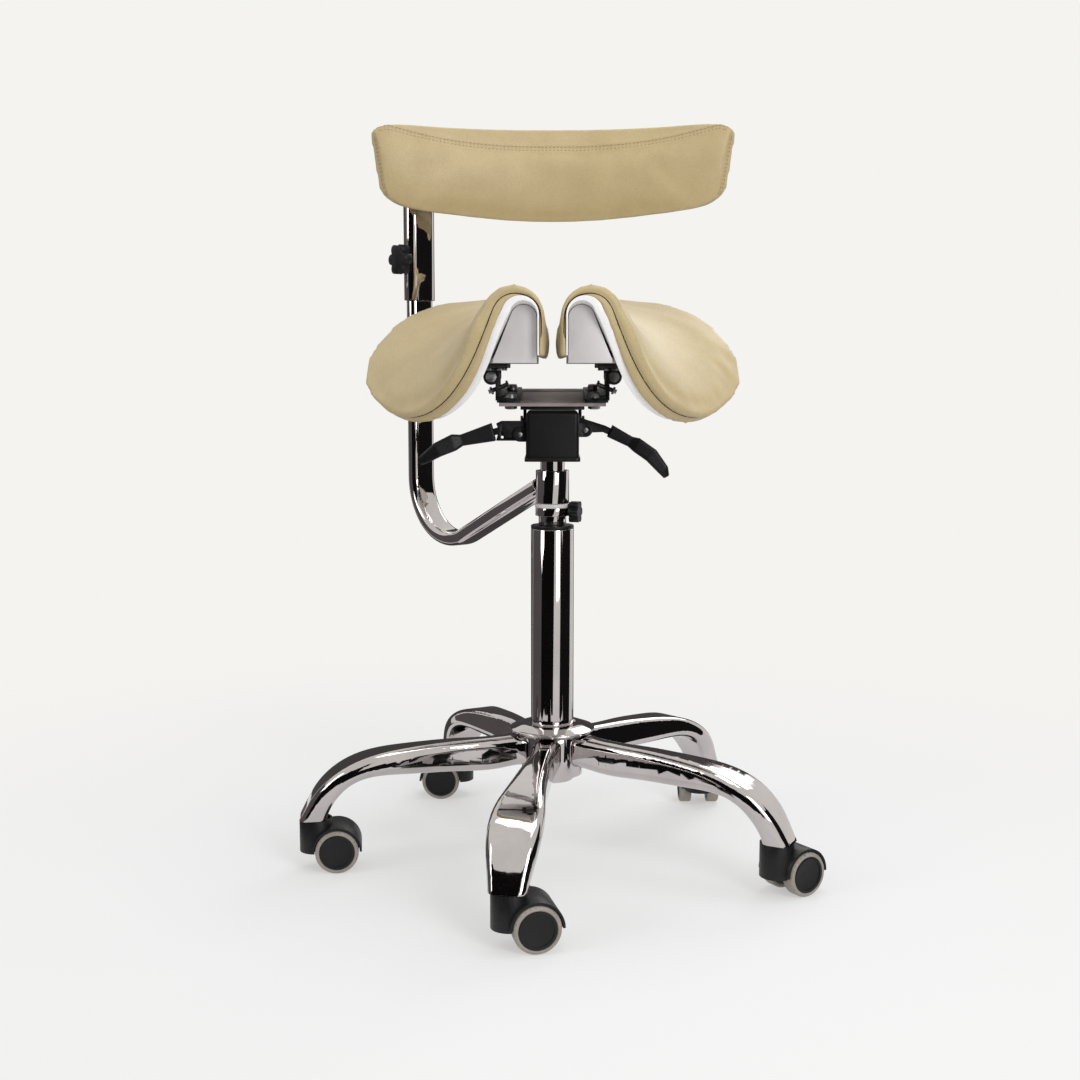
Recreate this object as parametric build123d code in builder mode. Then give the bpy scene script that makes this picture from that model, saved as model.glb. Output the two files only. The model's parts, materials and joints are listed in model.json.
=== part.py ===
from build123d import *
import math
import os

# Split-saddle stool with a backrest arm, in millimetres.
# The origin is on the floor under the column, +Z is up and the sitter faces -Y.

os.makedirs("parts", exist_ok=True)

# Fits and gaps
running_gap = 0.05
rest_gap = 0.3
side_gap = 0.5

# Casters
wheel_diameter = 50.0
tyre_width = 15.5
tyre_depth = 5.0
tyre_bevel = 2.0
tyre_spacing = 21.0
cap_recess = 1.2
cap_rim = 3.0
axle_diameter = 8.0
axle_cover = 4.0
caster_trail = 24.0
barrel_diameter = 38.0
barrel_bottom = 22.0
barrel_top = 60.0
cup_depth = 3.0
cup_wall = 2.5
hood_wall = 2.6
hood_width = 48.0
web_radius = 13.0
wheel_play = 1.0
stem_diameter = 11.0
stem_bottom = 24.0
stem_height = 52.0
socket_wall = 2.0
swivel_play = 1.0
caster_headings = [14.0, 34.0, 90.0, 180.0, 7.5]

# Base
base_radius = 278.0
arm_count = 5
front_arm_angle = -8.9
hub_diameter = 72.0
hub_bottom = 103.0
hub_height = 49.0
arm_wall = 2.5
arm_corner = 9.5
arm_end_depth = 32.0
arm_end_width = 40.0
arm_end_offset = 3.0
ring_diameter = 100.0
ring_top_diameter = 70.0
ring_foot_diameter = 88.0
ring_height = 11.5
ring_rim_height = 6.0
ring_rim_thickness = 1.6

# Column and gas spring
column_diameter = 50.0
column_wall = 2.5
column_bottom = 96.0
column_length = 298.0
column_floor = 4.0
bush_flange = 4.0
bush_depth = 44.0
cylinder_diameter = 28.0
cylinder_wall = 1.75
cylinder_bottom = 125.0
cylinder_guide = 15.0
cylinder_reach = 34.0
valve_block_height = 72.0
cylinder_tip_diameter = 26.5
rod_diameter = 10.0
rod_head_diameter = 16.0
rod_head_height = 4.0
bearing_diameter = 28.0
bearing_height = 8.0
shoulder_diameter = 18.0
shoulder_height = 4.0
piston_depth = 22.0
piston_height = 13.0
valve_pin_diameter = 8.0
valve_pin_length = 24.0
valve_pin_stand = 6.0
valve_bore_spare = 6.0

# Collar and backrest arm's sleeve on the cylinder
neck_diameter = 32.0
neck_height = 10.7
collar_diameter = 39.5
collar_height = 9.6
bearing_ring_diameter = 41.0
bearing_ring_height = 4.7
sleeve_diameter = 38.6
sleeve_height = 38.3
sleeve_clearance = 12.4
collar_knob_heading = -15.0
collar_knob_diameter = 26.0
collar_knob_thickness = 11.0
collar_knob_stand = 2.0
knob_stem_diameter = 6.0
knob_lobes = 6
knob_waist = 0.8

# Mechanism housing
housing_width = 60.0
housing_depth = 90.0
housing_height = 52.0
housing_wall = 3.0
housing_corner = 5.0
housing_plate = 4.0
housing_plate_lip = 1.5
socket_diameter = 40.0
socket_height = 30.0
ear_thickness = 3.0
ear_radius = 8.0
lever_room = 4.0
lever_thickness = 5.0
lever_pin_diameter = 6.0
height_pivot_x = 38.0
height_pivot_rise = 30.0
valve_play = 0.8
tilt_pivot_x = 37.0
tilt_pivot_rise = 26.0
tilt_lever_y = -29.5
tilt_hole_diameter = 3.2
tilt_hole_place = (20.0, -3.0)
grip_corner = 3.0
# Lever outlines, outwards and upwards from the pivot
height_tang_shape = [(20.0, -2.5), (50.0, -16.0), (53.0, -9.5), (23.0, 5.0)]
height_bend_shape = [(6.0, -3.0), (4.0, 11.0)]
tilt_tang_shape = [(25.0, 0.0), (61.0, -8.5), (59.5, -2.0), (25.0, 8.0)]
tilt_plate_shape = [(27.0, -7.0), (27.0, 12.5), (21.0, 15.5)]
# Grip sections: outwards and down from the pivot, droop angle, height and breadth
height_grip_sections = [
    (28.0, 1.0, 26.0, 15.0, 13.0),
    (52.0, 13.5, 28.0, 12.5, 14.0),
    (59.0, 17.0, 30.0, 17.0, 20.0),
    (76.0, 29.0, 42.0, 17.0, 24.0),
    (90.0, 46.0, 55.0, 13.0, 20.0),
    (94.0, 54.0, 60.0, 7.0, 12.0),
]
tilt_grip_sections = [
    (29.5, -3.0, 14.0, 21.0, 13.0),
    (66.0, 6.5, 16.0, 13.0, 14.0),
    (75.0, 9.0, 18.0, 19.0, 20.0),
    (93.0, 17.0, 30.0, 17.0, 24.0),
    (109.0, 28.0, 42.0, 12.0, 20.0),
    (114.0, 32.5, 48.0, 7.0, 12.0),
]
shaft_diameter = 10.0
shaft_y = 28.0
shaft_rise = 38.0
shaft_head_diameter = 15.0
shaft_head = 3.0

# Seat frame, leaning forward on the tilt shaft
seat_tilt = 8.0
plate_rise = 30.5
plate_half_width = 60.0
plate_front = 47.0
plate_back = 60.0
plate_thickness = 4.0
carrier_thickness = 5.0
carrier_half_width = 36.0
carrier_front = 40.0
carrier_back = 48.0
carrier_ear = 3.5
carrier_ear_radius = 10.0
hinge_x = 69.0
hinge_rise = 22.5
hinge_radius = 9.0
hinge_length = 60.0
hinge_pin_diameter = 8.0
hinge_head_diameter = 12.0
hinge_head_height = 3.0
bracket_thickness = 4.0
bracket_inner_x = 36.0
bolt_x = 47.0
bolt_spacing = 62.0
bolt_diameter = 8.0
bolt_head_diameter = 14.0
bolt_head_height = 5.0
bolt_head_taper = 20.0
limit_screw_diameter = 5.0
limit_screw_y = -18.0
limit_screw_rise = 9.5
limit_screw_angle = 22.0
limit_screw_length = 22.0

# Saddle halves
half_gap = 18.0
saddle_front = -150.0
saddle_back = 160.0
saddle_low_y = 10.0
saddle_low_rise = 63.5
saddle_rise = 0.00072
lip_rise = 8.0
crown_radius_middle = 39.0
crown_radius_slope = 0.048
flank_slope_middle = 38.0
flank_slope_rate = 0.22
flank_least = 2.0
outline_widest_y = 55.0
outline_half_width = 222.0
outline_front_width = 62.0
outline_front_reach = 210.0
outline_front_power = 1.3
outline_back_width = 60.0
outline_back_reach = 118.0
cushion_crown = 14.0
cushion_edge = 12.0
cushion_lip = 5.0
cushion_draw_in = 6.0
shell_wall = 5.0
shell_lip_wall = 1.6
shell_inset = 14.0
shell_draw_in = 3.0
tray_front = -138.0
tray_back = 92.0
tray_outer_x = 82.0
tray_wall = 4.0
tray_edge = 4.0
tray_gap = 0.8
mount_thickness = 5.0
mount_clearance = 1.0
mount_inner_x = 50.0
mount_outer_x = 78.0
mount_length = 120.0
mount_ear = 6.0
seat_screw_diameter = 5.0
seat_screw_head = 9.0
seat_screw_head_height = 3.0
seat_screw_spacing_x = 12.0
seat_screw_spacing_y = 96.0

# Backrest arm and post
post_x = -172.0
post_y = 216.0
tube_width = 36.0
tube_thickness = 18.0
tube_wall = 2.0
arm_start_rise = 26.2
arm_slope = 25.0
arm_bend_radius = 76.0
post_height = 315.5
post_overlap = 99.0
post_sleeve_height = 172.0
post_sleeve_wall = 2.0
post_bush_wall = 1.0
post_bush_height = 60.0
post_cap = 4.0
post_knob_rise = 51.0
post_knob_diameter = 40.0
post_knob_thickness = 11.0
post_knob_stand = 2.0

# Backrest pad
pad_half_width = 226.0
pad_curve_radius = 366.0
pad_front_y = 185.0
pad_thickness = 38.0
pad_rise = 97.0
pad_height = 113.0
pad_end_rise = 17.0
pad_end_corner = 14.0
pad_crown = 9.0
pad_end_thinning = 12.0
pad_end_lean = 10.0
board_thickness = 7.0
board_height = 60.0
board_half_angle = 29.5
strap_thickness = 5.0
strap_height = 44.0
strap_rise = 156.0
strap_start_angle = -29.5
strap_end_angle = 14.0
screw_inset = 1.8
weld_half_angle = 2.0
pad_screw_diameter = 6.0
pad_screw_head = 11.0
pad_screw_head_height = 3.5

# Worked out from the values above
wheel_radius = wheel_diameter / 2
column_top = column_bottom + column_length
bush_top = column_top + bush_flange
hub_top = hub_bottom + hub_height
arm_end_z = barrel_top + swivel_play
neck_bottom = bush_top + rest_gap
collar_bottom = neck_bottom + neck_height
collar_top = collar_bottom + collar_height
sleeve_bottom = collar_top + bearing_ring_height
housing_bottom = sleeve_bottom + sleeve_height + sleeve_clearance + housing_plate
housing_top = housing_bottom + housing_height
cylinder_top = housing_bottom + cylinder_reach
valve_block_bottom = cylinder_top - valve_block_height
piston_bottom = column_top - piston_depth
height_pivot_z = housing_bottom + height_pivot_rise
tilt_pivot_z = housing_bottom + tilt_pivot_rise
shaft_z = housing_bottom + shaft_rise
plate_top_z = shaft_z + plate_rise
hinge_z = plate_top_z + hinge_rise
limit_screw_z = plate_top_z + limit_screw_rise
tray_bottom_z = hinge_z + hinge_radius + mount_clearance + mount_thickness
saddle_low_z = tray_bottom_z + saddle_low_rise
lip_bottom_z = tray_bottom_z + lip_rise
arm_start_z = sleeve_bottom + arm_start_rise
post_top = arm_start_z + post_height
post_sleeve_bottom = post_top - post_overlap
post_knob_z = post_sleeve_bottom + post_knob_rise
pad_bottom_z = post_sleeve_bottom + pad_rise
pad_top_z = pad_bottom_z + pad_height
strap_z = post_sleeve_bottom + strap_rise
valve_top = cylinder_top + valve_pin_stand
lip_x = half_gap / 2
pad_centre_y = pad_front_y - pad_curve_radius
post_reach = math.hypot(post_x, post_y)
post_heading = math.degrees(math.atan2(post_y, post_x))


def across(y):
    """Upright plane at a given Y, with local x along +X and local y along +Z."""
    return Plane.XZ.offset(-y)


def save(builder, name):
    """Label one finished piece and write it."""
    builder.part.label = name
    export_step(builder.part, f"parts/{name}.step")


def save_copy(part, place, name):
    """Write a placed copy of a piece that repeats."""
    copy = part.moved(place)
    copy.label = name
    export_step(copy, f"parts/{name}.step")


def save_group(pieces, name):
    """Write pieces that touch but stay separate solids of one node."""
    group = Compound(label=name, children=pieces)
    export_step(group, f"parts/{name}.step")


# Caster, made once with its stem on the Z axis and its wheels towards +X
axle_plane = Plane(origin=(caster_trail, 0, wheel_radius), x_dir=(1, 0, 0), z_dir=(0, -1, 0))
web_width = tyre_spacing - 2 * wheel_play
well_radius = wheel_radius + wheel_play
hood_radius = well_radius + hood_wall
wheel_reach = tyre_spacing / 2 + tyre_width

with BuildPart() as hood:
    with BuildSketch(Plane.XY.offset(barrel_bottom)):
        Circle(barrel_diameter / 2)
    extrude(amount=barrel_top - barrel_bottom)
    with BuildSketch(axle_plane):
        with BuildLine():
            CenterArc((0, 0), hood_radius, 0, 180)
            Line((-hood_radius, 0), (hood_radius, 0))
        make_face()
    extrude(amount=hood_width / 2, both=True)
    with BuildSketch(axle_plane):
        Circle(web_radius)
    extrude(amount=web_width / 2, both=True)
    with BuildSketch(axle_plane.offset(web_width / 2)):
        Circle(well_radius)
    extrude(amount=barrel_diameter, mode=Mode.SUBTRACT)
    with BuildSketch(axle_plane.offset(-web_width / 2)):
        Circle(well_radius)
    extrude(amount=-barrel_diameter, mode=Mode.SUBTRACT)
    with BuildSketch(axle_plane):
        Circle(axle_diameter / 2 + running_gap)
    extrude(amount=hood_width, both=True, mode=Mode.SUBTRACT)
    with BuildSketch(Plane.XY.offset(barrel_top)):
        Circle(barrel_diameter / 2 - cup_wall)
    extrude(amount=-cup_depth, mode=Mode.SUBTRACT)
    with BuildSketch(Plane.XY.offset(barrel_top)):
        Circle(stem_diameter / 2 + running_gap)
    extrude(amount=stem_bottom - rest_gap - barrel_top, mode=Mode.SUBTRACT)

wheel_core_radius = wheel_radius - tyre_depth
wheel_discs = []
for side in (1, -1):
    with BuildPart() as disc:
        with BuildSketch(axle_plane.offset(side * tyre_spacing / 2)):
            Circle(wheel_core_radius)
        extrude(amount=side * tyre_width)
        with BuildSketch(axle_plane.offset(side * wheel_reach)):
            Circle(wheel_core_radius - cap_rim)
        extrude(amount=-side * cap_recess, mode=Mode.SUBTRACT)
        with BuildSketch(axle_plane.offset(side * tyre_spacing / 2)):
            Circle(axle_diameter / 2)
        extrude(amount=side * (tyre_width - axle_cover), mode=Mode.SUBTRACT)
    disc.part.label = "wheel_disc"
    wheel_discs.append(disc.part)

with BuildPart() as axle:
    with BuildSketch(axle_plane):
        Circle(axle_diameter / 2)
    extrude(amount=wheel_reach - axle_cover, both=True)
axle.part.label = "axle"

with BuildPart() as tyres:
    for side in (1, -1):
        with BuildSketch(axle_plane.offset(side * tyre_spacing / 2)):
            Circle(wheel_radius)
            Circle(wheel_core_radius, mode=Mode.SUBTRACT)
        extrude(amount=side * tyre_width)
    outer_edges = tyres.edges().filter_by(GeomType.CIRCLE).filter_by(
        lambda edge: abs(edge.radius - wheel_radius) < running_gap)
    chamfer(outer_edges.sort_by(Axis.Y)[0], tyre_bevel)
    chamfer(outer_edges.sort_by(Axis.Y)[-1], tyre_bevel)

# Base: hub, drooping hollow arms, ring, sockets and stems
with BuildPart() as base_hub:
    with BuildSketch(Plane.XY.offset(hub_bottom)):
        Circle(hub_diameter / 2)
        Circle(column_diameter / 2, mode=Mode.SUBTRACT)
    extrude(amount=hub_height)
save(base_hub, "base_hub")

# Each arm section: distance in from the stem, height, slope, depth and width
hub_end = base_radius - hub_diameter / 2 + arm_corner
arm_sections = [
    (hub_end, 130.0, 1.0, 38.0, 27.0),
    (208.0, 129.5, 1.0, 37.5, 28.5),
    (168.0, 128.5, 2.0, 36.0, 32.0),
    (130.0, 127.5, 3.0, 33.0, 38.0),
    (95.0, 125.8, 6.0, 29.0, 45.0),
    (58.0, 121.0, 18.0, 23.0, 55.0),
    (28.0, 106.5, 42.0, 22.0, 57.0),
    (8.0, 84.0, 62.0, 25.0, 49.0),
    (-arm_end_offset, arm_end_z, 90.0, arm_end_depth, arm_end_width),
]


def arm_plane(inset, height, slope):
    """Plane across the front arm, with local x along the arm's width."""
    run = math.cos(math.radians(slope))
    drop = math.sin(math.radians(slope))
    return Plane(origin=(0, inset - base_radius, height), x_dir=(1, 0, 0), z_dir=(0, -run, -drop))


with BuildPart() as arm_hollow:
    for inset, height, slope, depth, width in arm_sections[:-1]:
        with BuildSketch(arm_plane(inset, height, slope)):
            RectangleRounded(width - 2 * arm_wall, depth - 2 * arm_wall, arm_corner - arm_wall)
    loft()

with BuildPart() as arm:
    for inset, height, slope, depth, width in arm_sections:
        with BuildSketch(arm_plane(inset, height, slope)):
            RectangleRounded(width, depth, arm_corner)
    loft()
    add(arm_hollow.part, mode=Mode.SUBTRACT)
    with BuildSketch(Plane.XY):
        Circle(hub_diameter / 2)
    extrude(amount=housing_top, mode=Mode.SUBTRACT)
    with BuildSketch(Plane((0, -base_radius, 0))):
        Circle(stem_diameter / 2 + socket_wall)
    extrude(amount=stem_bottom + stem_height, mode=Mode.SUBTRACT)

with BuildPart() as base_arms:
    with PolarLocations(0, arm_count, start_angle=front_arm_angle):
        add(arm.part)
save(base_arms, "base_arms")

with BuildPart() as hub_ring:
    with BuildSketch(Plane.XZ):
        with BuildLine():
            Polyline(
                (column_diameter / 2, hub_top),
                (ring_foot_diameter / 2, hub_top),
                (ring_diameter / 2, hub_top + ring_rim_height - ring_rim_thickness),
                (ring_diameter / 2, hub_top + ring_rim_height),
                (ring_top_diameter / 2, hub_top + ring_height),
                (column_diameter / 2, hub_top + ring_height),
                close=True)
        make_face()
    revolve(axis=Axis.Z)
save(hub_ring, "hub_ring")

stem_turn = front_arm_angle - 90
with BuildPart() as caster_sockets:
    with BuildSketch(Plane.XY.offset(arm_end_z)):
        with PolarLocations(base_radius, arm_count, start_angle=stem_turn):
            Circle(stem_diameter / 2 + socket_wall)
            Circle(stem_diameter / 2, mode=Mode.SUBTRACT)
    extrude(amount=stem_bottom + stem_height - arm_end_z)
save(caster_sockets, "caster_sockets")

with BuildPart() as caster_stems:
    with BuildSketch(Plane.XY.offset(stem_bottom)):
        with PolarLocations(base_radius, arm_count, start_angle=stem_turn):
            Circle(stem_diameter / 2)
    extrude(amount=stem_height)
save(caster_stems, "caster_stems")

for number, heading in enumerate(caster_headings):
    turn = math.radians(stem_turn + number * 360 / arm_count)
    place = Location((base_radius * math.cos(turn), base_radius * math.sin(turn), 0), (0, 0, heading))
    save_copy(hood.part, place, f"caster_{number + 1}_hood")
    save_group([piece.moved(place) for piece in (*wheel_discs, axle.part)], f"caster_{number + 1}_wheels")
    save_copy(tyres.part, place, f"caster_{number + 1}_tyres")

# Column tube, bush and the gas spring inside it
column_bore = column_diameter - 2 * column_wall

with BuildPart() as column_tube:
    with BuildSketch(Plane.XY.offset(column_bottom)):
        Circle(column_diameter / 2)
        Circle(rod_diameter / 2 + running_gap, mode=Mode.SUBTRACT)
    extrude(amount=column_floor)
    with BuildSketch(Plane.XY.offset(column_bottom + column_floor)):
        Circle(column_diameter / 2)
        Circle(column_bore / 2, mode=Mode.SUBTRACT)
    extrude(amount=column_length - column_floor)
save(column_tube, "column_tube")

with BuildPart() as column_bush:
    with BuildSketch(Plane.XY.offset(column_top)):
        Circle(column_diameter / 2)
    extrude(amount=bush_flange)
    with BuildSketch(Plane.XY.offset(column_top)):
        Circle(column_bore / 2)
    extrude(amount=-bush_depth)
    with BuildSketch(Plane.XY.offset(bush_top)):
        Circle(cylinder_diameter / 2 + running_gap)
    extrude(amount=-bush_flange - bush_depth, mode=Mode.SUBTRACT)
save(column_bush, "column_bush")

bearing_bottom = column_bottom + column_floor
shoulder_bottom = bearing_bottom + bearing_height
cylinder_bore = cylinder_diameter - 2 * cylinder_wall

with BuildPart() as piston_rod:
    rod_end = column_bottom - rest_gap - rod_head_height
    with BuildSketch(Plane.XY.offset(rod_end)):
        Circle(rod_diameter / 2)
    extrude(amount=piston_bottom - rod_end)
    with BuildSketch(Plane.XY.offset(rod_end)):
        Circle(rod_head_diameter / 2)
    extrude(amount=rod_head_height)
    with BuildSketch(Plane.XY.offset(shoulder_bottom)):
        Circle(shoulder_diameter / 2)
    extrude(amount=shoulder_height)
    with BuildSketch(Plane.XY.offset(piston_bottom)):
        Circle(cylinder_bore / 2 - running_gap)
    extrude(amount=piston_height)
save(piston_rod, "piston_rod")

with BuildPart() as thrust_bearing:
    with BuildSketch(Plane.XY.offset(bearing_bottom)):
        Circle(bearing_diameter / 2)
        Circle(rod_diameter / 2, mode=Mode.SUBTRACT)
    extrude(amount=bearing_height)
save(thrust_bearing, "thrust_bearing")

socket_bottom = housing_bottom - housing_plate

with BuildPart() as gas_cylinder:
    with BuildSketch(Plane.XY.offset(cylinder_bottom)):
        Circle(cylinder_diameter / 2)
    extrude(amount=socket_bottom - cylinder_bottom)
    with BuildSketch(Plane.XY.offset(socket_bottom)):
        Circle(cylinder_diameter / 2)
    with BuildSketch(Plane.XY.offset(cylinder_top)):
        Circle(cylinder_tip_diameter / 2)
    loft()
    with BuildSketch(Plane.XY.offset(cylinder_bottom)):
        Circle(rod_diameter / 2 + running_gap)
    extrude(amount=cylinder_guide, mode=Mode.SUBTRACT)
    with BuildSketch(Plane.XY.offset(cylinder_bottom + cylinder_guide)):
        Circle(cylinder_bore / 2)
    extrude(amount=valve_block_bottom - cylinder_bottom - cylinder_guide, mode=Mode.SUBTRACT)
    with BuildSketch(Plane.XY.offset(cylinder_top)):
        Circle(valve_pin_diameter / 2 + running_gap)
    extrude(amount=valve_pin_stand - valve_pin_length - valve_bore_spare, mode=Mode.SUBTRACT)
save(gas_cylinder, "gas_cylinder")

with BuildPart() as valve_pin:
    with BuildSketch(Plane.XY.offset(valve_top)):
        Circle(valve_pin_diameter / 2)
    extrude(amount=-valve_pin_length)
save(valve_pin, "valve_pin")

# Stop collar, bearing ring and the backrest arm's sleeve
knob_z = collar_bottom + collar_height / 2
knob_turn = math.radians(collar_knob_heading)
knob_plane = Plane(
    origin=(0, 0, knob_z),
    x_dir=(-math.sin(knob_turn), math.cos(knob_turn), 0),
    z_dir=(math.cos(knob_turn), math.sin(knob_turn), 0))

with BuildPart() as stop_collar:
    with BuildSketch(Plane.XY.offset(neck_bottom)):
        Circle(neck_diameter / 2)
    extrude(amount=neck_height)
    with BuildSketch(Plane.XY.offset(collar_bottom)):
        Circle(collar_diameter / 2)
    extrude(amount=collar_height)
    with BuildSketch(Plane.XY.offset(neck_bottom)):
        Circle(cylinder_diameter / 2)
    extrude(amount=neck_height + collar_height, mode=Mode.SUBTRACT)
    with BuildSketch(knob_plane):
        Circle(knob_stem_diameter / 2 + running_gap)
    extrude(amount=collar_diameter, mode=Mode.SUBTRACT)
save(stop_collar, "stop_collar")

with BuildPart() as bearing_ring:
    with BuildSketch(Plane.XY.offset(collar_top)):
        Circle(bearing_ring_diameter / 2)
        Circle(cylinder_diameter / 2, mode=Mode.SUBTRACT)
    extrude(amount=bearing_ring_height)
save(bearing_ring, "bearing_ring")

with BuildPart() as arm_sleeve:
    with BuildSketch(Plane.XY.offset(sleeve_bottom)):
        Circle(sleeve_diameter / 2)
        Circle(cylinder_diameter / 2 + running_gap, mode=Mode.SUBTRACT)
    extrude(amount=sleeve_height)
save(arm_sleeve, "arm_sleeve")


def star_knob(plane, stem_start, stem_end, diameter, thickness):
    """Lobed hand knob on a plain stem, along the plane's normal."""
    lobe_radius = diameter / knob_lobes
    with BuildPart() as knob:
        with BuildSketch(plane.offset(stem_start)):
            Circle(knob_stem_diameter / 2)
        extrude(amount=stem_end - stem_start)
        with BuildSketch(plane.offset(stem_end)):
            Circle(diameter / 2 - lobe_radius * knob_waist)
            with PolarLocations(diameter / 2 - lobe_radius, knob_lobes):
                Circle(lobe_radius)
        extrude(amount=thickness)
    return knob


collar_knob = star_knob(
    knob_plane, cylinder_diameter / 2 + rest_gap, collar_diameter / 2 + collar_knob_stand,
    collar_knob_diameter, collar_knob_thickness)
save(collar_knob, "collar_knob")

# Mechanism housing with its lever ears, its floor plate and the pins
ear_offset = lever_thickness / 2 + side_gap + ear_thickness / 2
slot_half = lever_thickness / 2 + side_gap
lever_seats = [(1, height_pivot_x, height_pivot_z, 0.0), (-1, tilt_pivot_x, tilt_pivot_z, tilt_lever_y)]

with BuildPart() as mechanism_housing:
    with BuildSketch(Plane.XY.offset(housing_bottom)):
        RectangleRounded(housing_width, housing_depth, housing_corner)
    extrude(amount=housing_height)
    fillet(mechanism_housing.faces().sort_by(Axis.Z)[-1].edges(), housing_corner - side_gap)
    with BuildSketch(Plane.XY.offset(housing_bottom)):
        RectangleRounded(
            housing_width - 2 * housing_wall, housing_depth - 2 * housing_wall,
            housing_corner - housing_wall)
    extrude(amount=housing_height - housing_wall, mode=Mode.SUBTRACT)
    for side, pivot_x, pivot_z, lever_y in lever_seats:
        for ear_side in (1, -1):
            with BuildSketch(across(lever_y + ear_side * ear_offset)):
                with Locations((side * (housing_width / 2 + pivot_x) / 2, pivot_z)):
                    Rectangle(pivot_x - housing_width / 2, 2 * ear_radius)
                with Locations((side * pivot_x, pivot_z)):
                    Circle(ear_radius)
                with Locations((side * pivot_x, pivot_z)):
                    Circle(lever_pin_diameter / 2, mode=Mode.SUBTRACT)
            extrude(amount=ear_thickness / 2, both=True)
        with BuildSketch(Plane.YZ.offset(side * (housing_width / 2 - housing_wall))):
            slot_bottom = pivot_z - ear_radius - lever_room
            slot_top = housing_top - housing_wall
            with Locations((lever_y, (slot_bottom + slot_top) / 2)):
                Rectangle(2 * slot_half, slot_top - slot_bottom)
        extrude(amount=side * housing_wall, mode=Mode.SUBTRACT)
    with BuildSketch(Plane.YZ):
        with Locations((shaft_y, shaft_z)):
            Circle(shaft_diameter / 2)
    extrude(amount=housing_width, both=True, mode=Mode.SUBTRACT)
save(mechanism_housing, "mechanism_housing")

with BuildPart() as housing_base:
    with BuildSketch(Plane.XY.offset(socket_bottom)):
        RectangleRounded(
            housing_width + 2 * housing_plate_lip, housing_depth + 2 * housing_plate_lip, housing_corner)
    extrude(amount=housing_plate)
    with BuildSketch(Plane.XY.offset(housing_bottom)):
        Circle(socket_diameter / 2)
    extrude(amount=socket_height)
    with BuildSketch(Plane.XY.offset(socket_bottom)):
        Circle(cylinder_diameter / 2)
    with BuildSketch(Plane.XY.offset(cylinder_top)):
        Circle(cylinder_tip_diameter / 2)
    loft(mode=Mode.SUBTRACT)
save(housing_base, "housing_base")

with BuildPart() as lever_pins:
    for side, pivot_x, pivot_z, lever_y in lever_seats:
        with BuildSketch(across(lever_y)):
            with Locations((side * pivot_x, pivot_z)):
                Circle(lever_pin_diameter / 2)
        extrude(amount=ear_offset + ear_thickness, both=True)

shaft_half = housing_width / 2 + side_gap + carrier_ear
with BuildPart() as tilt_shaft:
    with BuildSketch(Plane.YZ):
        with Locations((shaft_y, shaft_z)):
            Circle(shaft_diameter / 2)
    extrude(amount=shaft_half + side_gap, both=True)
    for side in (1, -1):
        with BuildSketch(Plane.YZ.offset(side * (shaft_half + side_gap))):
            with Locations((shaft_y, shaft_z)):
                Circle(shaft_head_diameter / 2)
        extrude(amount=side * shaft_head)
save_group([*lever_pins.solids(), *tilt_shaft.solids()], "housing_pins")

# Levers: flat steel plates whose tangs carry moulded grips
nose_z = valve_top + valve_play
nose_half = valve_pin_diameter / 2 + side_gap
inner_wall_x = housing_width / 2 - housing_wall


def from_pivot(side, pivot_x, pivot_z, points):
    """Places given as distances outwards and upwards from a lever's pivot."""
    return [(side * (pivot_x + out), pivot_z + up) for out, up in points]


height_tang = from_pivot(1, height_pivot_x, height_pivot_z, height_tang_shape)
height_bend = from_pivot(1, height_pivot_x, height_pivot_z, height_bend_shape)
tilt_tang = from_pivot(-1, tilt_pivot_x, tilt_pivot_z, tilt_tang_shape)
tilt_plate = from_pivot(-1, tilt_pivot_x, tilt_pivot_z, tilt_plate_shape)

with BuildPart() as height_lever:
    with BuildSketch(across(0)):
        with BuildLine():
            Polyline(
                (-nose_half, nose_z),
                (nose_half, nose_z),
                (inner_wall_x, height_pivot_z + lever_thickness),
                height_bend[0],
                *height_tang,
                height_bend[1],
                (inner_wall_x, nose_z + lever_thickness),
                (-nose_half, nose_z + lever_thickness),
                close=True)
        make_face()
        with Locations((height_pivot_x, height_pivot_z)):
            Circle(ear_radius - side_gap)
            Circle(lever_pin_diameter / 2 + running_gap, mode=Mode.SUBTRACT)
    extrude(amount=lever_thickness / 2, both=True)
save(height_lever, "height_lever")

with BuildPart() as tilt_lever:
    with BuildSketch(across(tilt_lever_y)):
        with BuildLine():
            Polyline(
                (-inner_wall_x, tilt_plate[0][1]),
                tilt_plate[0],
                *tilt_tang,
                *tilt_plate[1:],
                (-inner_wall_x, tilt_plate[2][1]),
                close=True)
        make_face()
        with Locations((-tilt_pivot_x, tilt_pivot_z)):
            Circle(lever_pin_diameter / 2 + running_gap, mode=Mode.SUBTRACT)
        with Locations(*from_pivot(-1, tilt_pivot_x, tilt_pivot_z, [tilt_hole_place])):
            Circle(tilt_hole_diameter / 2, mode=Mode.SUBTRACT)
    extrude(amount=lever_thickness / 2, both=True)
save(tilt_lever, "tilt_lever")


def lever_grip(seat, sections, tang):
    """Moulded paddle grip with a pocket for the lever's tang."""
    side, pivot_x, pivot_z, lever_y = seat
    with BuildPart() as grip:
        for out, down, droop, height, breadth in sections:
            run = math.cos(math.radians(droop))
            drop = math.sin(math.radians(droop))
            plane = Plane(
                origin=(side * (pivot_x + out), lever_y, pivot_z - down),
                x_dir=(0, 1, 0),
                z_dir=(side * run, 0, -drop))
            with BuildSketch(plane):
                RectangleRounded(breadth, height, grip_corner)
        loft(ruled=True)
        with BuildSketch(across(lever_y)):
            with BuildLine():
                Polyline(*tang, close=True)
            make_face()
        extrude(amount=lever_thickness / 2, both=True, mode=Mode.SUBTRACT)
    return grip


save(lever_grip(lever_seats[0], height_grip_sections, height_tang), "height_grip")
save(lever_grip(lever_seats[1], tilt_grip_sections, tilt_tang), "tilt_grip")

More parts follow.
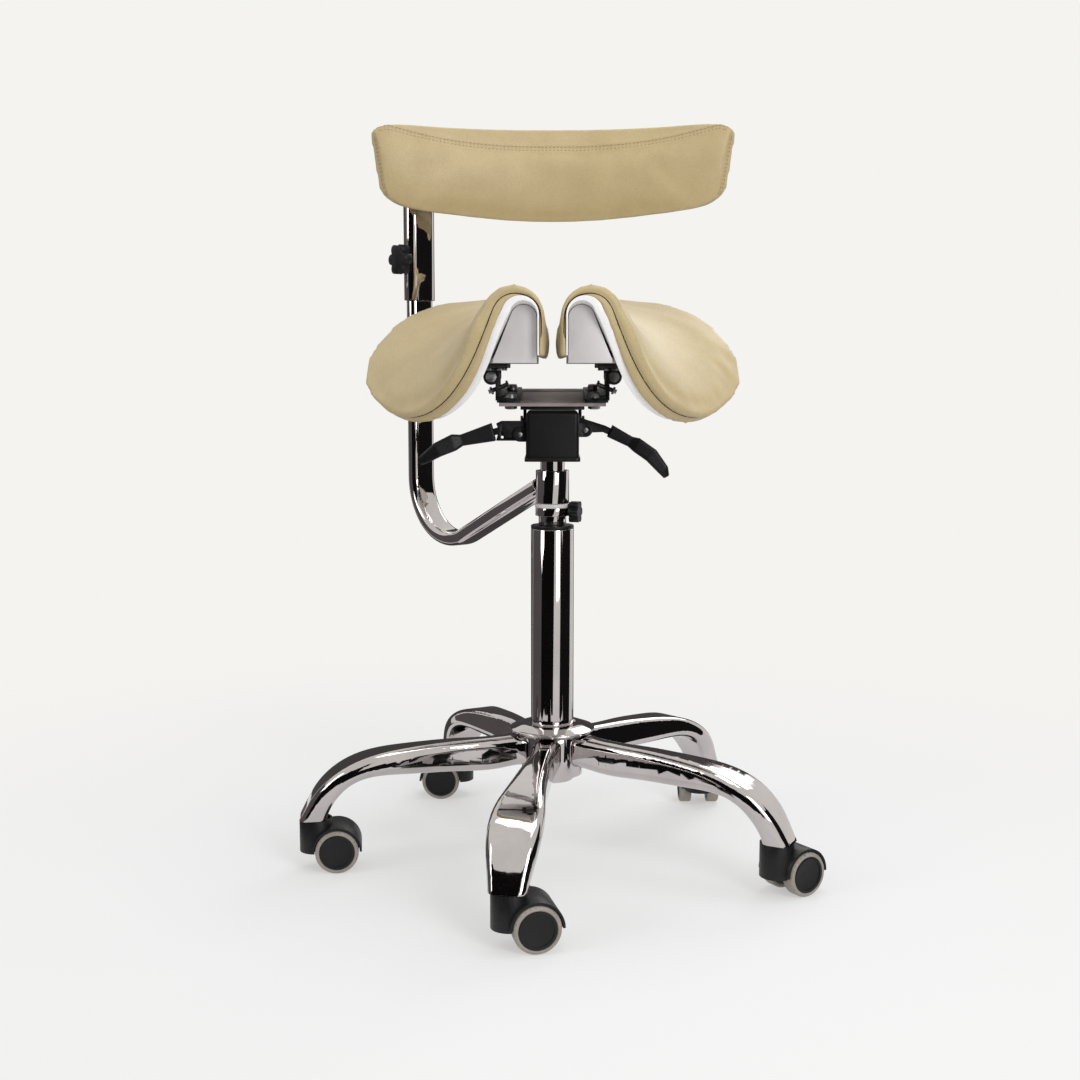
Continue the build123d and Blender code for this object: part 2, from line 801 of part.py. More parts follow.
# Seat frame: carrier on the tilt shaft, bridge plate and hinge brackets
lean = math.radians(seat_tilt)
frame_plane = Plane(
    origin=(0, 0, plate_top_z), x_dir=(1, 0, 0), z_dir=(0, -math.sin(lean), math.cos(lean)))
carrier_plane = frame_plane.offset(-plate_thickness - carrier_thickness)
bolt_places = [(side * bolt_x, end * bolt_spacing / 2) for side in (1, -1) for end in (1, -1)]


def plate_sketch_centre(front, back):
    return (back - front) / 2


with BuildPart() as tilt_carrier:
    with BuildSketch(carrier_plane):
        with Locations((0, plate_sketch_centre(carrier_front, carrier_back))):
            Rectangle(2 * carrier_half_width, carrier_front + carrier_back)
    extrude(amount=carrier_thickness)
    for side in (1, -1):
        ear_plane = Plane.YZ.offset(side * (housing_width / 2 + side_gap))
        ear_top = carrier_plane.origin.Z + shaft_y * math.tan(lean) + carrier_thickness / 2
        with BuildSketch(ear_plane):
            with Locations((shaft_y, (ear_top + shaft_z) / 2)):
                Rectangle(2 * carrier_ear_radius, ear_top - shaft_z)
            with Locations((shaft_y, shaft_z)):
                Circle(carrier_ear_radius)
                Circle(shaft_diameter / 2 + running_gap, mode=Mode.SUBTRACT)
        extrude(amount=side * carrier_ear)
save(tilt_carrier, "tilt_carrier")

with BuildPart() as bridge_plate:
    with BuildSketch(frame_plane.offset(-plate_thickness)):
        with Locations((0, plate_sketch_centre(plate_front, plate_back))):
            Rectangle(2 * plate_half_width, plate_front + plate_back)
        with Locations(*bolt_places):
            Circle(bolt_diameter / 2, mode=Mode.SUBTRACT)
    extrude(amount=plate_thickness)
save(bridge_plate, "bridge_plate")

foot_length = bolt_spacing + 2 * bolt_head_diameter
web_bottom = plate_top_z - hinge_length / 2 * math.sin(lean)
limit_turn = math.radians(limit_screw_angle)
limit_x = plate_half_width + side_gap + bracket_thickness / 2


def limit_plane(side):
    """Plane at the web, with its normal along the limit screw towards the outside."""
    return Plane(
        origin=(side * limit_x, limit_screw_y, limit_screw_z),
        x_dir=(0, 1, 0),
        z_dir=(side * math.cos(limit_turn), 0, -math.sin(limit_turn)))


with BuildPart() as hinge_brackets:
    for side in (1, -1):
        foot_middle = side * (bracket_inner_x + limit_x) / 2
        with BuildSketch(frame_plane):
            with Locations((foot_middle, 0)):
                Rectangle(limit_x - bracket_inner_x, foot_length)
            with Locations(*[place for place in bolt_places if place[0] * side > 0]):
                Circle(bolt_diameter / 2, mode=Mode.SUBTRACT)
        extrude(amount=bracket_thickness)
        with BuildSketch(across(0)):
            with Locations((side * limit_x, (web_bottom + hinge_z) / 2)):
                Rectangle(bracket_thickness, hinge_z - web_bottom)
            with Locations((side * hinge_x, hinge_z)):
                Circle(hinge_radius)
                Circle(hinge_pin_diameter / 2, mode=Mode.SUBTRACT)
        extrude(amount=hinge_length / 2, both=True)
        with BuildSketch(limit_plane(side)):
            Circle(limit_screw_diameter / 2)
        extrude(amount=limit_screw_length, both=True, mode=Mode.SUBTRACT)
save(hinge_brackets, "hinge_brackets")

with BuildPart() as bracket_bolts:
    with BuildSketch(frame_plane.offset(bracket_thickness)):
        with Locations(*bolt_places):
            Circle(bolt_diameter / 2)
    extrude(amount=-bracket_thickness - plate_thickness)
    with BuildSketch(frame_plane.offset(bracket_thickness)):
        with Locations(*bolt_places):
            Circle(bolt_head_diameter / 2)
    extrude(amount=bolt_head_height, taper=bolt_head_taper)
    with BuildSketch(frame_plane.offset(-plate_thickness)):
        with Locations(*bolt_places):
            RegularPolygon(bolt_head_diameter / 2, 6)
    extrude(amount=-bolt_head_height)

pin_reach = hinge_length / 2 + side_gap + mount_ear
with BuildPart() as hinge_pins:
    for side in (1, -1):
        with BuildSketch(across(0)):
            with Locations((side * hinge_x, hinge_z)):
                Circle(hinge_pin_diameter / 2)
        extrude(amount=pin_reach + side_gap, both=True)
        for end in (1, -1):
            with BuildSketch(across(end * (pin_reach + side_gap))):
                with Locations((side * hinge_x, hinge_z)):
                    Circle(hinge_head_diameter / 2)
            extrude(amount=-end * hinge_head_height)
save(hinge_pins, "hinge_pins")

with BuildPart() as limit_screws:
    for side in (1, -1):
        screw_start = limit_plane(side).offset(-limit_screw_length / 2)
        with BuildSketch(screw_start):
            Circle(limit_screw_diameter / 2)
        extrude(amount=limit_screw_length)
        with BuildSketch(screw_start):
            RegularPolygon(limit_screw_diameter, 6)
        extrude(amount=-limit_screw_diameter / 2)
        with BuildSketch(limit_plane(side).offset(limit_screw_length / 2 - limit_screw_diameter)):
            RegularPolygon(limit_screw_diameter, 6)
        extrude(amount=limit_screw_diameter / 2)
save_group([*bracket_bolts.solids(), *limit_screws.solids()], "frame_bolts")


# Saddle halves: every layer follows the same cross-sections, front to back
def crown_apex(y):
    return saddle_low_z + saddle_rise * (y - saddle_low_y) ** 2


def crown_radius(y):
    return crown_radius_middle + crown_radius_slope * y


def flank_slope(y):
    return math.radians(flank_slope_middle - flank_slope_rate * y)


def outline_x(y):
    """How far the half reaches from the stool's middle plane."""
    if y < outline_widest_y:
        share = (outline_widest_y - y) / outline_front_reach
        swell = (1 - share ** outline_front_power) ** (1 / outline_front_power)
        return outline_front_width + (outline_half_width - outline_front_width) * swell
    share = (y - outline_widest_y) / outline_back_reach
    return outline_back_width + (outline_half_width - outline_back_width) * math.sqrt(1 - share ** 2)


def cushion_depth(y):
    """Padding over the crown, thinner towards the front and back edges."""
    middle = (saddle_front + saddle_back) / 2
    share = (y - middle) / (saddle_back - middle)
    return cushion_crown - (cushion_crown - cushion_edge) * share ** 4


class LayerLine:
    """One line of the cross-section at y: lip, crown arc and flank, sunk below the top surface."""

    def __init__(self, y, lip_depth, crown_depth, pull_in):
        slope = flank_slope(y)
        top_radius = crown_radius(y)
        centre_z = crown_apex(y) - top_radius
        top_end = lip_x + top_radius + top_radius * math.sin(slope)
        flank_end = outline_x(y)
        self.slope = slope
        self.radius = top_radius - crown_depth
        self.centre = (lip_x + lip_depth + self.radius, centre_z)
        end_z = centre_z + top_radius * math.cos(slope) - (flank_end - top_end) * math.tan(slope)
        along = flank_end * math.cos(slope) - end_z * math.sin(slope) - pull_in
        tangent_x, tangent_z = self.on_crown(90 - math.degrees(slope))
        length = max(along - tangent_x * math.cos(slope) + tangent_z * math.sin(slope), flank_least)
        self.tangent = (tangent_x, tangent_z)
        self.end = (tangent_x + length * math.cos(slope), tangent_z - length * math.sin(slope))
        self.lip_top = (lip_x + lip_depth, centre_z)

    def on_crown(self, angle):
        turn = math.radians(angle)
        return (
            self.centre[0] + self.radius * math.cos(turn),
            self.centre[1] + self.radius * math.sin(turn))

    def crown_middle(self):
        return self.on_crown(135 - math.degrees(self.slope) / 2)

    def lip_foot(self, z):
        return (self.lip_top[0], z)

    def flank_z(self, x):
        return self.tangent[1] - (x - self.tangent[0]) * math.tan(self.slope)

    def flank_x(self, z):
        return self.tangent[0] + (self.tangent[1] - z) / math.tan(self.slope)


saddle_stations = [saddle_front, -118.0, -80.0, -40.0, 0.0, 45.0, 90.0, 130.0, saddle_back]


def band_outline(outer, inner):
    """Closed outline between two layer lines."""
    with BuildLine() as outline:
        Line(outer.lip_foot(lip_bottom_z), outer.lip_top)
        ThreePointArc(outer.lip_top, outer.crown_middle(), outer.tangent)
        Line(outer.tangent, outer.end)
        Line(outer.end, inner.end)
        Line(inner.end, inner.tangent)
        ThreePointArc(inner.tangent, inner.crown_middle(), inner.lip_top)
        Line(inner.lip_top, inner.lip_foot(lip_bottom_z))
        Line(inner.lip_foot(lip_bottom_z), outer.lip_foot(lip_bottom_z))
    return outline.line


with BuildPart() as seat_cushion_right:
    for y in saddle_stations:
        with BuildSketch(across(y)):
            top_line = LayerLine(y, 0, 0, 0)
            seat_line = LayerLine(y, cushion_lip, cushion_depth(y), cushion_draw_in)
            add(band_outline(top_line, seat_line))
            make_face()
    loft()

shell_lip = cushion_lip + rest_gap
with BuildPart() as seat_shell_right:
    for y in saddle_stations:
        with BuildSketch(across(y)):
            skin_depth = cushion_depth(y) + rest_gap
            outer_line = LayerLine(y, shell_lip, skin_depth, shell_inset)
            inner_line = LayerLine(
                y, shell_lip + shell_lip_wall, skin_depth + shell_wall, shell_inset + shell_draw_in)
            add(band_outline(outer_line, inner_line))
            make_face()
    loft()

tray_lip = shell_lip + shell_lip_wall + tray_gap
tray_stations = [tray_front, *saddle_stations[1:6], tray_back]
with BuildPart() as seat_tray_right:
    for y in tray_stations:
        with BuildSketch(across(y)):
            line = LayerLine(y, tray_lip, cushion_depth(y) + rest_gap + shell_wall + tray_gap, 0)
            wall_x = min(tray_outer_x, line.flank_x(tray_bottom_z + tray_edge))
            with BuildLine():
                Line(line.lip_foot(tray_bottom_z), line.lip_top)
                ThreePointArc(line.lip_top, line.crown_middle(), line.tangent)
                Line(line.tangent, (wall_x, line.flank_z(wall_x)))
                Line((wall_x, line.flank_z(wall_x)), (wall_x, tray_bottom_z))
                Line((wall_x, tray_bottom_z), line.lip_foot(tray_bottom_z))
            make_face()
    loft()
    pocket_inner = lip_x + tray_lip + tray_wall
    pocket_outer = mount_outer_x - 2 * tray_wall - 2 * tray_edge
    with BuildSketch(Plane.XY.offset(tray_bottom_z + tray_wall)):
        with Locations(((pocket_inner + pocket_outer) / 2, (tray_front + tray_back) / 2)):
            Rectangle(pocket_outer - pocket_inner, tray_back - tray_front - 2 * tray_wall)
    extrude(amount=saddle_low_z - tray_bottom_z, mode=Mode.SUBTRACT)

mount_bottom = tray_bottom_z - mount_thickness
mount_middle = (mount_inner_x + mount_outer_x) / 2
with BuildPart() as seat_mount_right:
    with BuildSketch(Plane.XY.offset(mount_bottom)):
        with Locations((mount_middle, 0)):
            Rectangle(mount_outer_x - mount_inner_x, mount_length)
            with GridLocations(seat_screw_spacing_x, seat_screw_spacing_y, 2, 2):
                Circle(seat_screw_diameter / 2, mode=Mode.SUBTRACT)
    extrude(amount=mount_thickness)
    for end in (1, -1):
        with BuildSketch(across(end * (hinge_length / 2 + side_gap))):
            with Locations((hinge_x, (hinge_z + mount_bottom) / 2)):
                Rectangle(2 * hinge_radius, mount_bottom - hinge_z)
            with Locations((hinge_x, hinge_z)):
                Circle(hinge_radius)
                Circle(hinge_pin_diameter / 2 + running_gap, mode=Mode.SUBTRACT)
        extrude(amount=-end * mount_ear)

with BuildPart() as tray_holes:
    with BuildSketch(Plane.XY.offset(tray_bottom_z)):
        with Locations((mount_middle, 0)):
            with GridLocations(seat_screw_spacing_x, seat_screw_spacing_y, 2, 2):
                Circle(seat_screw_diameter / 2)
    extrude(amount=tray_wall)

with BuildPart() as seat_tray_drilled:
    add(seat_tray_right.part)
    add(tray_holes.part, mode=Mode.SUBTRACT)

with BuildPart() as seat_screws_right:
    with BuildSketch(Plane.XY.offset(mount_bottom)):
        with Locations((mount_middle, 0)):
            with GridLocations(seat_screw_spacing_x, seat_screw_spacing_y, 2, 2):
                Circle(seat_screw_diameter / 2)
    extrude(amount=mount_thickness + tray_wall)
    with BuildSketch(Plane.XY.offset(mount_bottom)):
        with Locations((mount_middle, 0)):
            with GridLocations(seat_screw_spacing_x, seat_screw_spacing_y, 2, 2):
                Circle(seat_screw_head / 2)
    extrude(amount=-seat_screw_head_height)

half_pieces = {
    "seat_cushion": seat_cushion_right,
    "seat_shell": seat_shell_right,
    "seat_tray": seat_tray_drilled,
    "seat_mount": seat_mount_right,
    "seat_screws": seat_screws_right,
}
for name, right_piece in half_pieces.items():
    save(right_piece, f"{name}_right")
    with BuildPart() as left_piece:
        mirror(right_piece.part, about=Plane.YZ)
    save(left_piece, f"{name}_left")

# Backrest arm: a flat-oval tube from the sleeve, down, round the bend and up the post
heading = math.radians(post_heading)
arm_upright = Plane(
    origin=(0, 0, 0),
    x_dir=(math.cos(heading), math.sin(heading), 0),
    z_dir=(math.sin(heading), -math.cos(heading), 0))
arm_fall = math.tan(math.radians(arm_slope))
arm_root = cylinder_diameter / 2

with BuildPart() as back_arm:
    with BuildLine(arm_upright) as arm_path:
        FilletPolyline(
            (arm_root, arm_start_z - arm_root * arm_fall),
            (post_reach, arm_start_z - post_reach * arm_fall),
            (post_reach, post_top),
            radius=arm_bend_radius)
    tube_plane = Plane(
        origin=arm_path.wires()[0] @ 0, x_dir=arm_upright.z_dir, z_dir=arm_path.wires()[0] % 0)
    with BuildSketch(tube_plane):
        SlotOverall(tube_width, tube_thickness)
        SlotOverall(tube_width - 2 * tube_wall, tube_thickness - 2 * tube_wall, mode=Mode.SUBTRACT)
    sweep(path=arm_path.wires()[0])
    with BuildSketch(Plane.XY):
        Circle(sleeve_diameter / 2)
    extrude(amount=housing_top, mode=Mode.SUBTRACT)
save(back_arm, "back_arm")


def post_plane(z):
    """Level plane at the post, with local x along the tube's width."""
    return Plane(
        origin=(post_x, post_y, z), x_dir=(math.sin(heading), -math.cos(heading), 0), z_dir=(0, 0, 1))


bush_inner = 2 * running_gap
bush_outer = bush_inner + 2 * post_bush_wall
sleeve_outer = bush_outer + 2 * post_sleeve_wall
knob_plane_post = Plane(
    origin=(post_x, post_y, post_knob_z), x_dir=(0, 1, 0),
    z_dir=(-math.sin(heading), math.cos(heading), 0))
sleeve_half_width = (tube_width + sleeve_outer) / 2

with BuildPart() as post_bush:
    with BuildSketch(post_plane(post_sleeve_bottom)):
        SlotOverall(tube_width + bush_outer, tube_thickness + bush_outer)
        SlotOverall(tube_width + bush_inner, tube_thickness + bush_inner, mode=Mode.SUBTRACT)
    extrude(amount=post_bush_height)
    with BuildSketch(knob_plane_post):
        Circle(knob_stem_diameter / 2 + running_gap)
    extrude(amount=tube_width, mode=Mode.SUBTRACT)
save(post_bush, "post_bush")

with BuildPart() as post_sleeve:
    with BuildSketch(post_plane(post_sleeve_bottom)):
        SlotOverall(tube_width + sleeve_outer, tube_thickness + sleeve_outer)
    extrude(amount=post_sleeve_height)
    with BuildSketch(post_plane(post_sleeve_bottom)):
        SlotOverall(tube_width + bush_outer, tube_thickness + bush_outer)
    extrude(amount=post_sleeve_height - post_cap, mode=Mode.SUBTRACT)
    with BuildSketch(knob_plane_post):
        Circle(knob_stem_diameter / 2 + running_gap)
    extrude(amount=tube_width, mode=Mode.SUBTRACT)
save(post_sleeve, "post_sleeve")

post_knob = star_knob(
    knob_plane_post, tube_width / 2 + rest_gap, sleeve_half_width + post_knob_stand,
    post_knob_diameter, post_knob_thickness)
save(post_knob, "post_knob")

# Backrest pad, board, strap and screws, all on arcs about one centre
pad_end_radius = pad_curve_radius + pad_thickness - pad_end_thinning / 2
pad_half_angle = math.degrees(math.asin(pad_half_width / pad_end_radius))
board_radius = pad_curve_radius + pad_thickness + rest_gap
strap_radius = board_radius + board_thickness


def pad_plane(angle, lean):
    """Plane through the curve's centre at the pad's top, local x outwards and local y up along the lean."""
    turn = math.radians(angle)
    tip = math.radians(lean)
    return Plane(
        origin=(0, pad_centre_y, pad_top_z),
        x_dir=(math.sin(turn), math.cos(turn), 0),
        z_dir=(math.cos(turn) * math.cos(tip), -math.sin(turn) * math.cos(tip), -math.sin(tip)))


pad_shares = [-1.0, -0.93, -0.65, -0.3, 0.0, 0.3, 0.65, 0.93, 1.0]
with BuildPart() as back_pad:
    for share in pad_shares:
        tightness = share ** 2
        corner = pad_end_corner * abs(share) ** 30
        low = pad_bottom_z - pad_top_z + pad_end_rise * tightness + corner
        high = -corner / 2
        thinning = pad_end_thinning * abs(share) ** 12
        front = pad_curve_radius + thinning
        back = pad_curve_radius + pad_thickness - thinning / 2
        with BuildSketch(pad_plane(share * pad_half_angle, share * pad_end_lean)):
            with BuildLine():
                ThreePointArc(
                    (front + pad_crown, low), (front, (low + high) / 2), (front + pad_crown, high))
                Line((front + pad_crown, high), (back, high - pad_crown / 2))
                Line((back, high - pad_crown / 2), (back, low + pad_crown / 2))
                Line((back, low + pad_crown / 2), (front + pad_crown, low))
            make_face()
    loft()
save(back_pad, "back_pad")


def on_arc(radius, angle):
    """Plan point about the pad's centre, the angle from +Y towards +X."""
    turn = math.radians(angle)
    return (radius * math.sin(turn), pad_centre_y + radius * math.cos(turn))


def strip_outline(inner, outer, start, end):
    """Plan outline of a curved strip about the pad's centre."""
    middle = (start + end) / 2
    with BuildLine() as outline:
        ThreePointArc(on_arc(inner, start), on_arc(inner, middle), on_arc(inner, end))
        Line(on_arc(inner, end), on_arc(outer, end))
        ThreePointArc(on_arc(outer, end), on_arc(outer, middle), on_arc(outer, start))
        Line(on_arc(outer, start), on_arc(inner, start))
    return outline.line


screw_angles = [
    strap_start_angle + screw_inset, strap_start_angle / 2, 0.0, strap_end_angle - screw_inset]


def screw_plane(angle, radius):
    """Plane square to a pad screw, at the strap's height, with its normal outwards."""
    turn = math.radians(angle)
    outwards = (math.sin(turn), math.cos(turn), 0)
    return Plane(
        origin=(radius * math.sin(turn), pad_centre_y + radius * math.cos(turn), strap_z),
        x_dir=(math.cos(turn), -math.sin(turn), 0), z_dir=outwards)


with BuildPart() as pad_screws:
    for angle in screw_angles:
        with BuildSketch(screw_plane(angle, board_radius)):
            Circle(pad_screw_diameter / 2)
        extrude(amount=board_thickness + strap_thickness)
        with BuildSketch(screw_plane(angle, strap_radius + strap_thickness)):
            Circle(pad_screw_head / 2)
        extrude(amount=pad_screw_head_height)

with BuildPart() as back_board:
    with BuildSketch(Plane.XY.offset(strap_z - board_height / 2)):
        add(strip_outline(board_radius, strap_radius, -board_half_angle, board_half_angle))
        make_face()
    extrude(amount=board_height)
    add(pad_screws.part, mode=Mode.SUBTRACT)
save(back_board, "back_board")

with BuildPart() as pad_strap:
    with BuildSketch(Plane.XY.offset(strap_z - strap_height / 2)):
        add(strip_outline(strap_radius, strap_radius + strap_thickness, strap_start_angle, strap_end_angle))
        make_face()
    extrude(amount=strap_height)
    weld_turn = math.degrees(math.atan2(post_x, post_y - pad_centre_y))
    weld_radius = math.hypot(post_x, post_y - pad_centre_y)
    with BuildSketch(Plane.XY.offset(strap_z - strap_height / 2)):
        add(strip_outline(strap_radius, weld_radius, weld_turn - weld_half_angle, weld_turn + weld_half_angle))
        make_face()
    extrude(amount=strap_height)
    with BuildSketch(post_plane(post_sleeve_bottom)):
        SlotOverall(tube_width + sleeve_outer, tube_thickness + sleeve_outer)
    extrude(amount=post_sleeve_height, mode=Mode.SUBTRACT)
    add(pad_screws.part, mode=Mode.SUBTRACT)
save(pad_strap, "pad_strap")
save(pad_screws, "pad_screws")
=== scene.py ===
# %% [markdown]
# # A split-saddle stool with a backrest
# The hard pieces of the stool (base, column, levers, hinges) come from a CAD frame that is
# loaded first and never moved. Blender adds what CAD cannot show well: upholstery that is
# sewn and stuffed, soft edges, and the finishes of chrome, plastic, rubber and leather.

# %% Load the frame
import json
import math

import bmesh
import bpy
import numpy
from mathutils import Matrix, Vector
from mathutils.bvhtree import BVHTree
from mathutils.kdtree import KDTree


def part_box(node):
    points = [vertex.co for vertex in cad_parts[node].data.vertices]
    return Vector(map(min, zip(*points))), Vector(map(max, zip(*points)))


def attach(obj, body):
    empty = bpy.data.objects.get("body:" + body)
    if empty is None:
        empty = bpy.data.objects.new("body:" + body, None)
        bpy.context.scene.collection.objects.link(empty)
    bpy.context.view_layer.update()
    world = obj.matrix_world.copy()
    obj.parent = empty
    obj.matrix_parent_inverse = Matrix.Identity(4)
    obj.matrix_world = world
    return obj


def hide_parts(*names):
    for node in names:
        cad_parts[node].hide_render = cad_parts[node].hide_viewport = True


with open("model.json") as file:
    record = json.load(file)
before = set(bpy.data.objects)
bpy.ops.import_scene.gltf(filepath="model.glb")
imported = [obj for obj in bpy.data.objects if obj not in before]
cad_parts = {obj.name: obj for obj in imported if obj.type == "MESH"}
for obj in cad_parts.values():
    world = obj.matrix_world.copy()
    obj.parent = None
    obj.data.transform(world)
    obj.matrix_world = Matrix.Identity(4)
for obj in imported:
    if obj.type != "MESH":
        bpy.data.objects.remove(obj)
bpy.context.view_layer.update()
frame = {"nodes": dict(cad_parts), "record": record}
nodes = frame["nodes"]
scene = bpy.context.scene

# %% [markdown]
# ## Camera and studio
# A product photographer stands the stool on a pale sweep and looks slightly down at it. The
# camera's place and lens were worked out from the base and the column in the photograph. The
# floor shades into the backdrop's own colour, so that there is no horizon line, and only the
# soft shadow under the casters says where the floor is.

# %% Camera
CAMERA_PLACE = (0.0, -1.6448, 0.5759)
CAMERA_DOWN = 6.792
CAMERA_TURN = 0.502
CAMERA_LENS = 47.39
SENSOR_WIDTH = 36.0
NEAREST_SEEN = 0.01
camera_data = bpy.data.cameras.new("camera")
camera_data.sensor_width = SENSOR_WIDTH
camera_data.lens = CAMERA_LENS
camera_data.clip_start = NEAREST_SEEN
camera = bpy.data.objects.new("camera", camera_data)
camera.location = CAMERA_PLACE
camera.rotation_euler = (math.radians(90 - CAMERA_DOWN), 0, math.radians(CAMERA_TURN))
scene.collection.objects.link(camera)
scene.camera = camera
scene.view_settings.view_transform = "Standard"
print("camera at", CAMERA_PLACE, "lens", CAMERA_LENS)


# %% Node helpers
def linear(red, green, blue):
    """A colour given as 0 to 255 screen values, as the linear values that shaders use."""
    def channel(value):
        share = value / 255
        return share / 12.92 if share <= 0.04045 else ((share + 0.055) / 1.055) ** 2.4
    return (channel(red), channel(green), channel(blue), 1.0)


def add_node(tree, kind, place=(0, 0), **values):
    """Add a node; values are its properties, or its inputs where the name starts with in_."""
    node = tree.nodes.new(kind)
    node.location = place
    for name, value in values.items():
        if name.startswith("in_"):
            node.inputs[name[3:].replace("_", " ")].default_value = value
        else:
            setattr(node, name, value)
    return node


BACKDROP = linear(244, 243, 240)
print("backdrop:", [round(share, 3) for share in BACKDROP[:3]])


# %% Backdrop and lamps
SKY_STRENGTH = 0.55
SKY_TONE = (0.95, 0.97, 1.0, 1.0)
LAMPS = [
    ("key", (1.25, -2.1, 1.5), (0.9, 1.9), 36.0),
    ("fill", (-2.2, -1.1, 1.6), (0.8, 1.6), 13.0),
    ("top", (0.3, 0.2, 2.9), (1.6, 1.6), 26.0),
    ("back", (1.2, 2.2, 1.9), (1.2, 1.2), 14.0),
]
AIM = Vector((0.0, 0.0, 0.45))


def make_world():
    """A pale backdrop for the eye and for reflections, and a softer sky for lighting."""
    world = bpy.data.worlds.new("studio")
    world.use_nodes = True
    tree = world.node_tree
    tree.nodes.clear()
    path = add_node(tree, "ShaderNodeLightPath", (-800, 0))
    mirrored = add_node(tree, "ShaderNodeMath", (-600, 0), operation="MAXIMUM")
    seen = add_node(tree, "ShaderNodeMath", (-400, 0), operation="MAXIMUM")
    tree.links.new(path.outputs["Is Glossy Ray"], mirrored.inputs[0])
    tree.links.new(path.outputs["Is Transmission Ray"], mirrored.inputs[1])
    tree.links.new(path.outputs["Is Camera Ray"], seen.inputs[0])
    tree.links.new(mirrored.outputs[0], seen.inputs[1])
    sky = add_node(tree, "ShaderNodeBackground", (-200, -120), in_Color=SKY_TONE,
                   in_Strength=SKY_STRENGTH)
    shown = add_node(tree, "ShaderNodeBackground", (-200, 120), in_Color=BACKDROP)
    mix = add_node(tree, "ShaderNodeMixShader", (0, 0))
    output = add_node(tree, "ShaderNodeOutputWorld", (200, 0))
    tree.links.new(seen.outputs[0], mix.inputs["Fac"])
    tree.links.new(sky.outputs[0], mix.inputs[1])
    tree.links.new(shown.outputs[0], mix.inputs[2])
    tree.links.new(mix.outputs[0], output.inputs["Surface"])
    scene.world = world


def make_lamps():
    """Broad lamps, like soft boxes, all turned to the middle of the stool."""
    for name, place, size, power in LAMPS:
        data = bpy.data.lights.new(name, "AREA")
        data.shape = "RECTANGLE"
        data.size, data.size_y = size
        data.energy = power
        lamp = bpy.data.objects.new(name, data)
        lamp.location = place
        lamp.rotation_euler = (AIM - Vector(place)).to_track_quat("-Z", "Y").to_euler()
        scene.collection.objects.link(lamp)


make_world()
make_lamps()
print("lamps:", [lamp[0] for lamp in LAMPS])

# %% Floor
FLOOR_RADIUS = 9.0
FLOOR_NEAR = 0.3
FLOOR_FAR = 1.3
FLOOR_GLOW = 0.5
FLOOR_SIDES = 96
PAPER = linear(226, 226, 228)


def make_floor():
    """A disc that is a matt floor near the stool and turns into the backdrop further out."""
    mesh = bpy.data.meshes.new("floor")
    shape = bmesh.new()
    bmesh.ops.create_circle(shape, cap_ends=True, segments=FLOOR_SIDES, radius=FLOOR_RADIUS)
    shape.to_mesh(mesh)
    shape.free()
    floor = bpy.data.objects.new("floor", mesh)
    scene.collection.objects.link(floor)
    material = bpy.data.materials.new("floor_paper")
    material.use_nodes = True
    tree = material.node_tree
    tree.nodes.clear()
    place = add_node(tree, "ShaderNodeTexCoord", (-900, 0))
    length = add_node(tree, "ShaderNodeVectorMath", (-700, 0), operation="LENGTH")
    fade = add_node(tree, "ShaderNodeMapRange", (-500, 0), interpolation_type="SMOOTHSTEP",
                    in_From_Min=FLOOR_NEAR, in_From_Max=FLOOR_FAR, in_To_Min=FLOOR_GLOW)
    paper = add_node(tree, "ShaderNodeBsdfDiffuse", (-300, -150), in_Color=PAPER)
    glow = add_node(tree, "ShaderNodeEmission", (-300, 150), in_Color=BACKDROP)
    mix = add_node(tree, "ShaderNodeMixShader", (-100, 0))
    output = add_node(tree, "ShaderNodeOutputMaterial", (100, 0))
    tree.links.new(place.outputs["Object"], length.inputs[0])
    tree.links.new(length.outputs["Value"], fade.inputs["Value"])
    tree.links.new(fade.outputs["Result"], mix.inputs["Fac"])
    tree.links.new(paper.outputs[0], mix.inputs[1])
    tree.links.new(glow.outputs[0], mix.inputs[2])
    tree.links.new(mix.outputs[0], output.inputs["Surface"])
    floor.data.materials.append(material)


make_floor()
print("floor radius", FLOOR_RADIUS)

# %% [markdown]
# ## Cards for the chrome
# Polished chrome has no colour of its own: it shows the room. In the photograph the tubes carry
# dark upright bands and one bright streak, because the studio is dark apart from its lamps.
# Cards stand round the stool and lie on the floor, out of sight, with gaps where the pale
# backdrop shows, and only mirror-like surfaces see them.

# %% Cards
CARD_NEAR = 0.42
CARD_FAR = 3.3
CARD_LIFT = 0.003
CARD_BEND = 0.3
CARD_STEPS = 16
CARD_TINT = (1.0, 0.93, 0.92)
CARDS = [
    ("card_left", -128, -58, 1.7, 0.120),
    ("card_front", -58, 9, 2.4, 0.006),
    ("card_right", 46, 112, 2.2, 0.010),
    ("card_back", 150, 226, 1.5, 0.075),
]


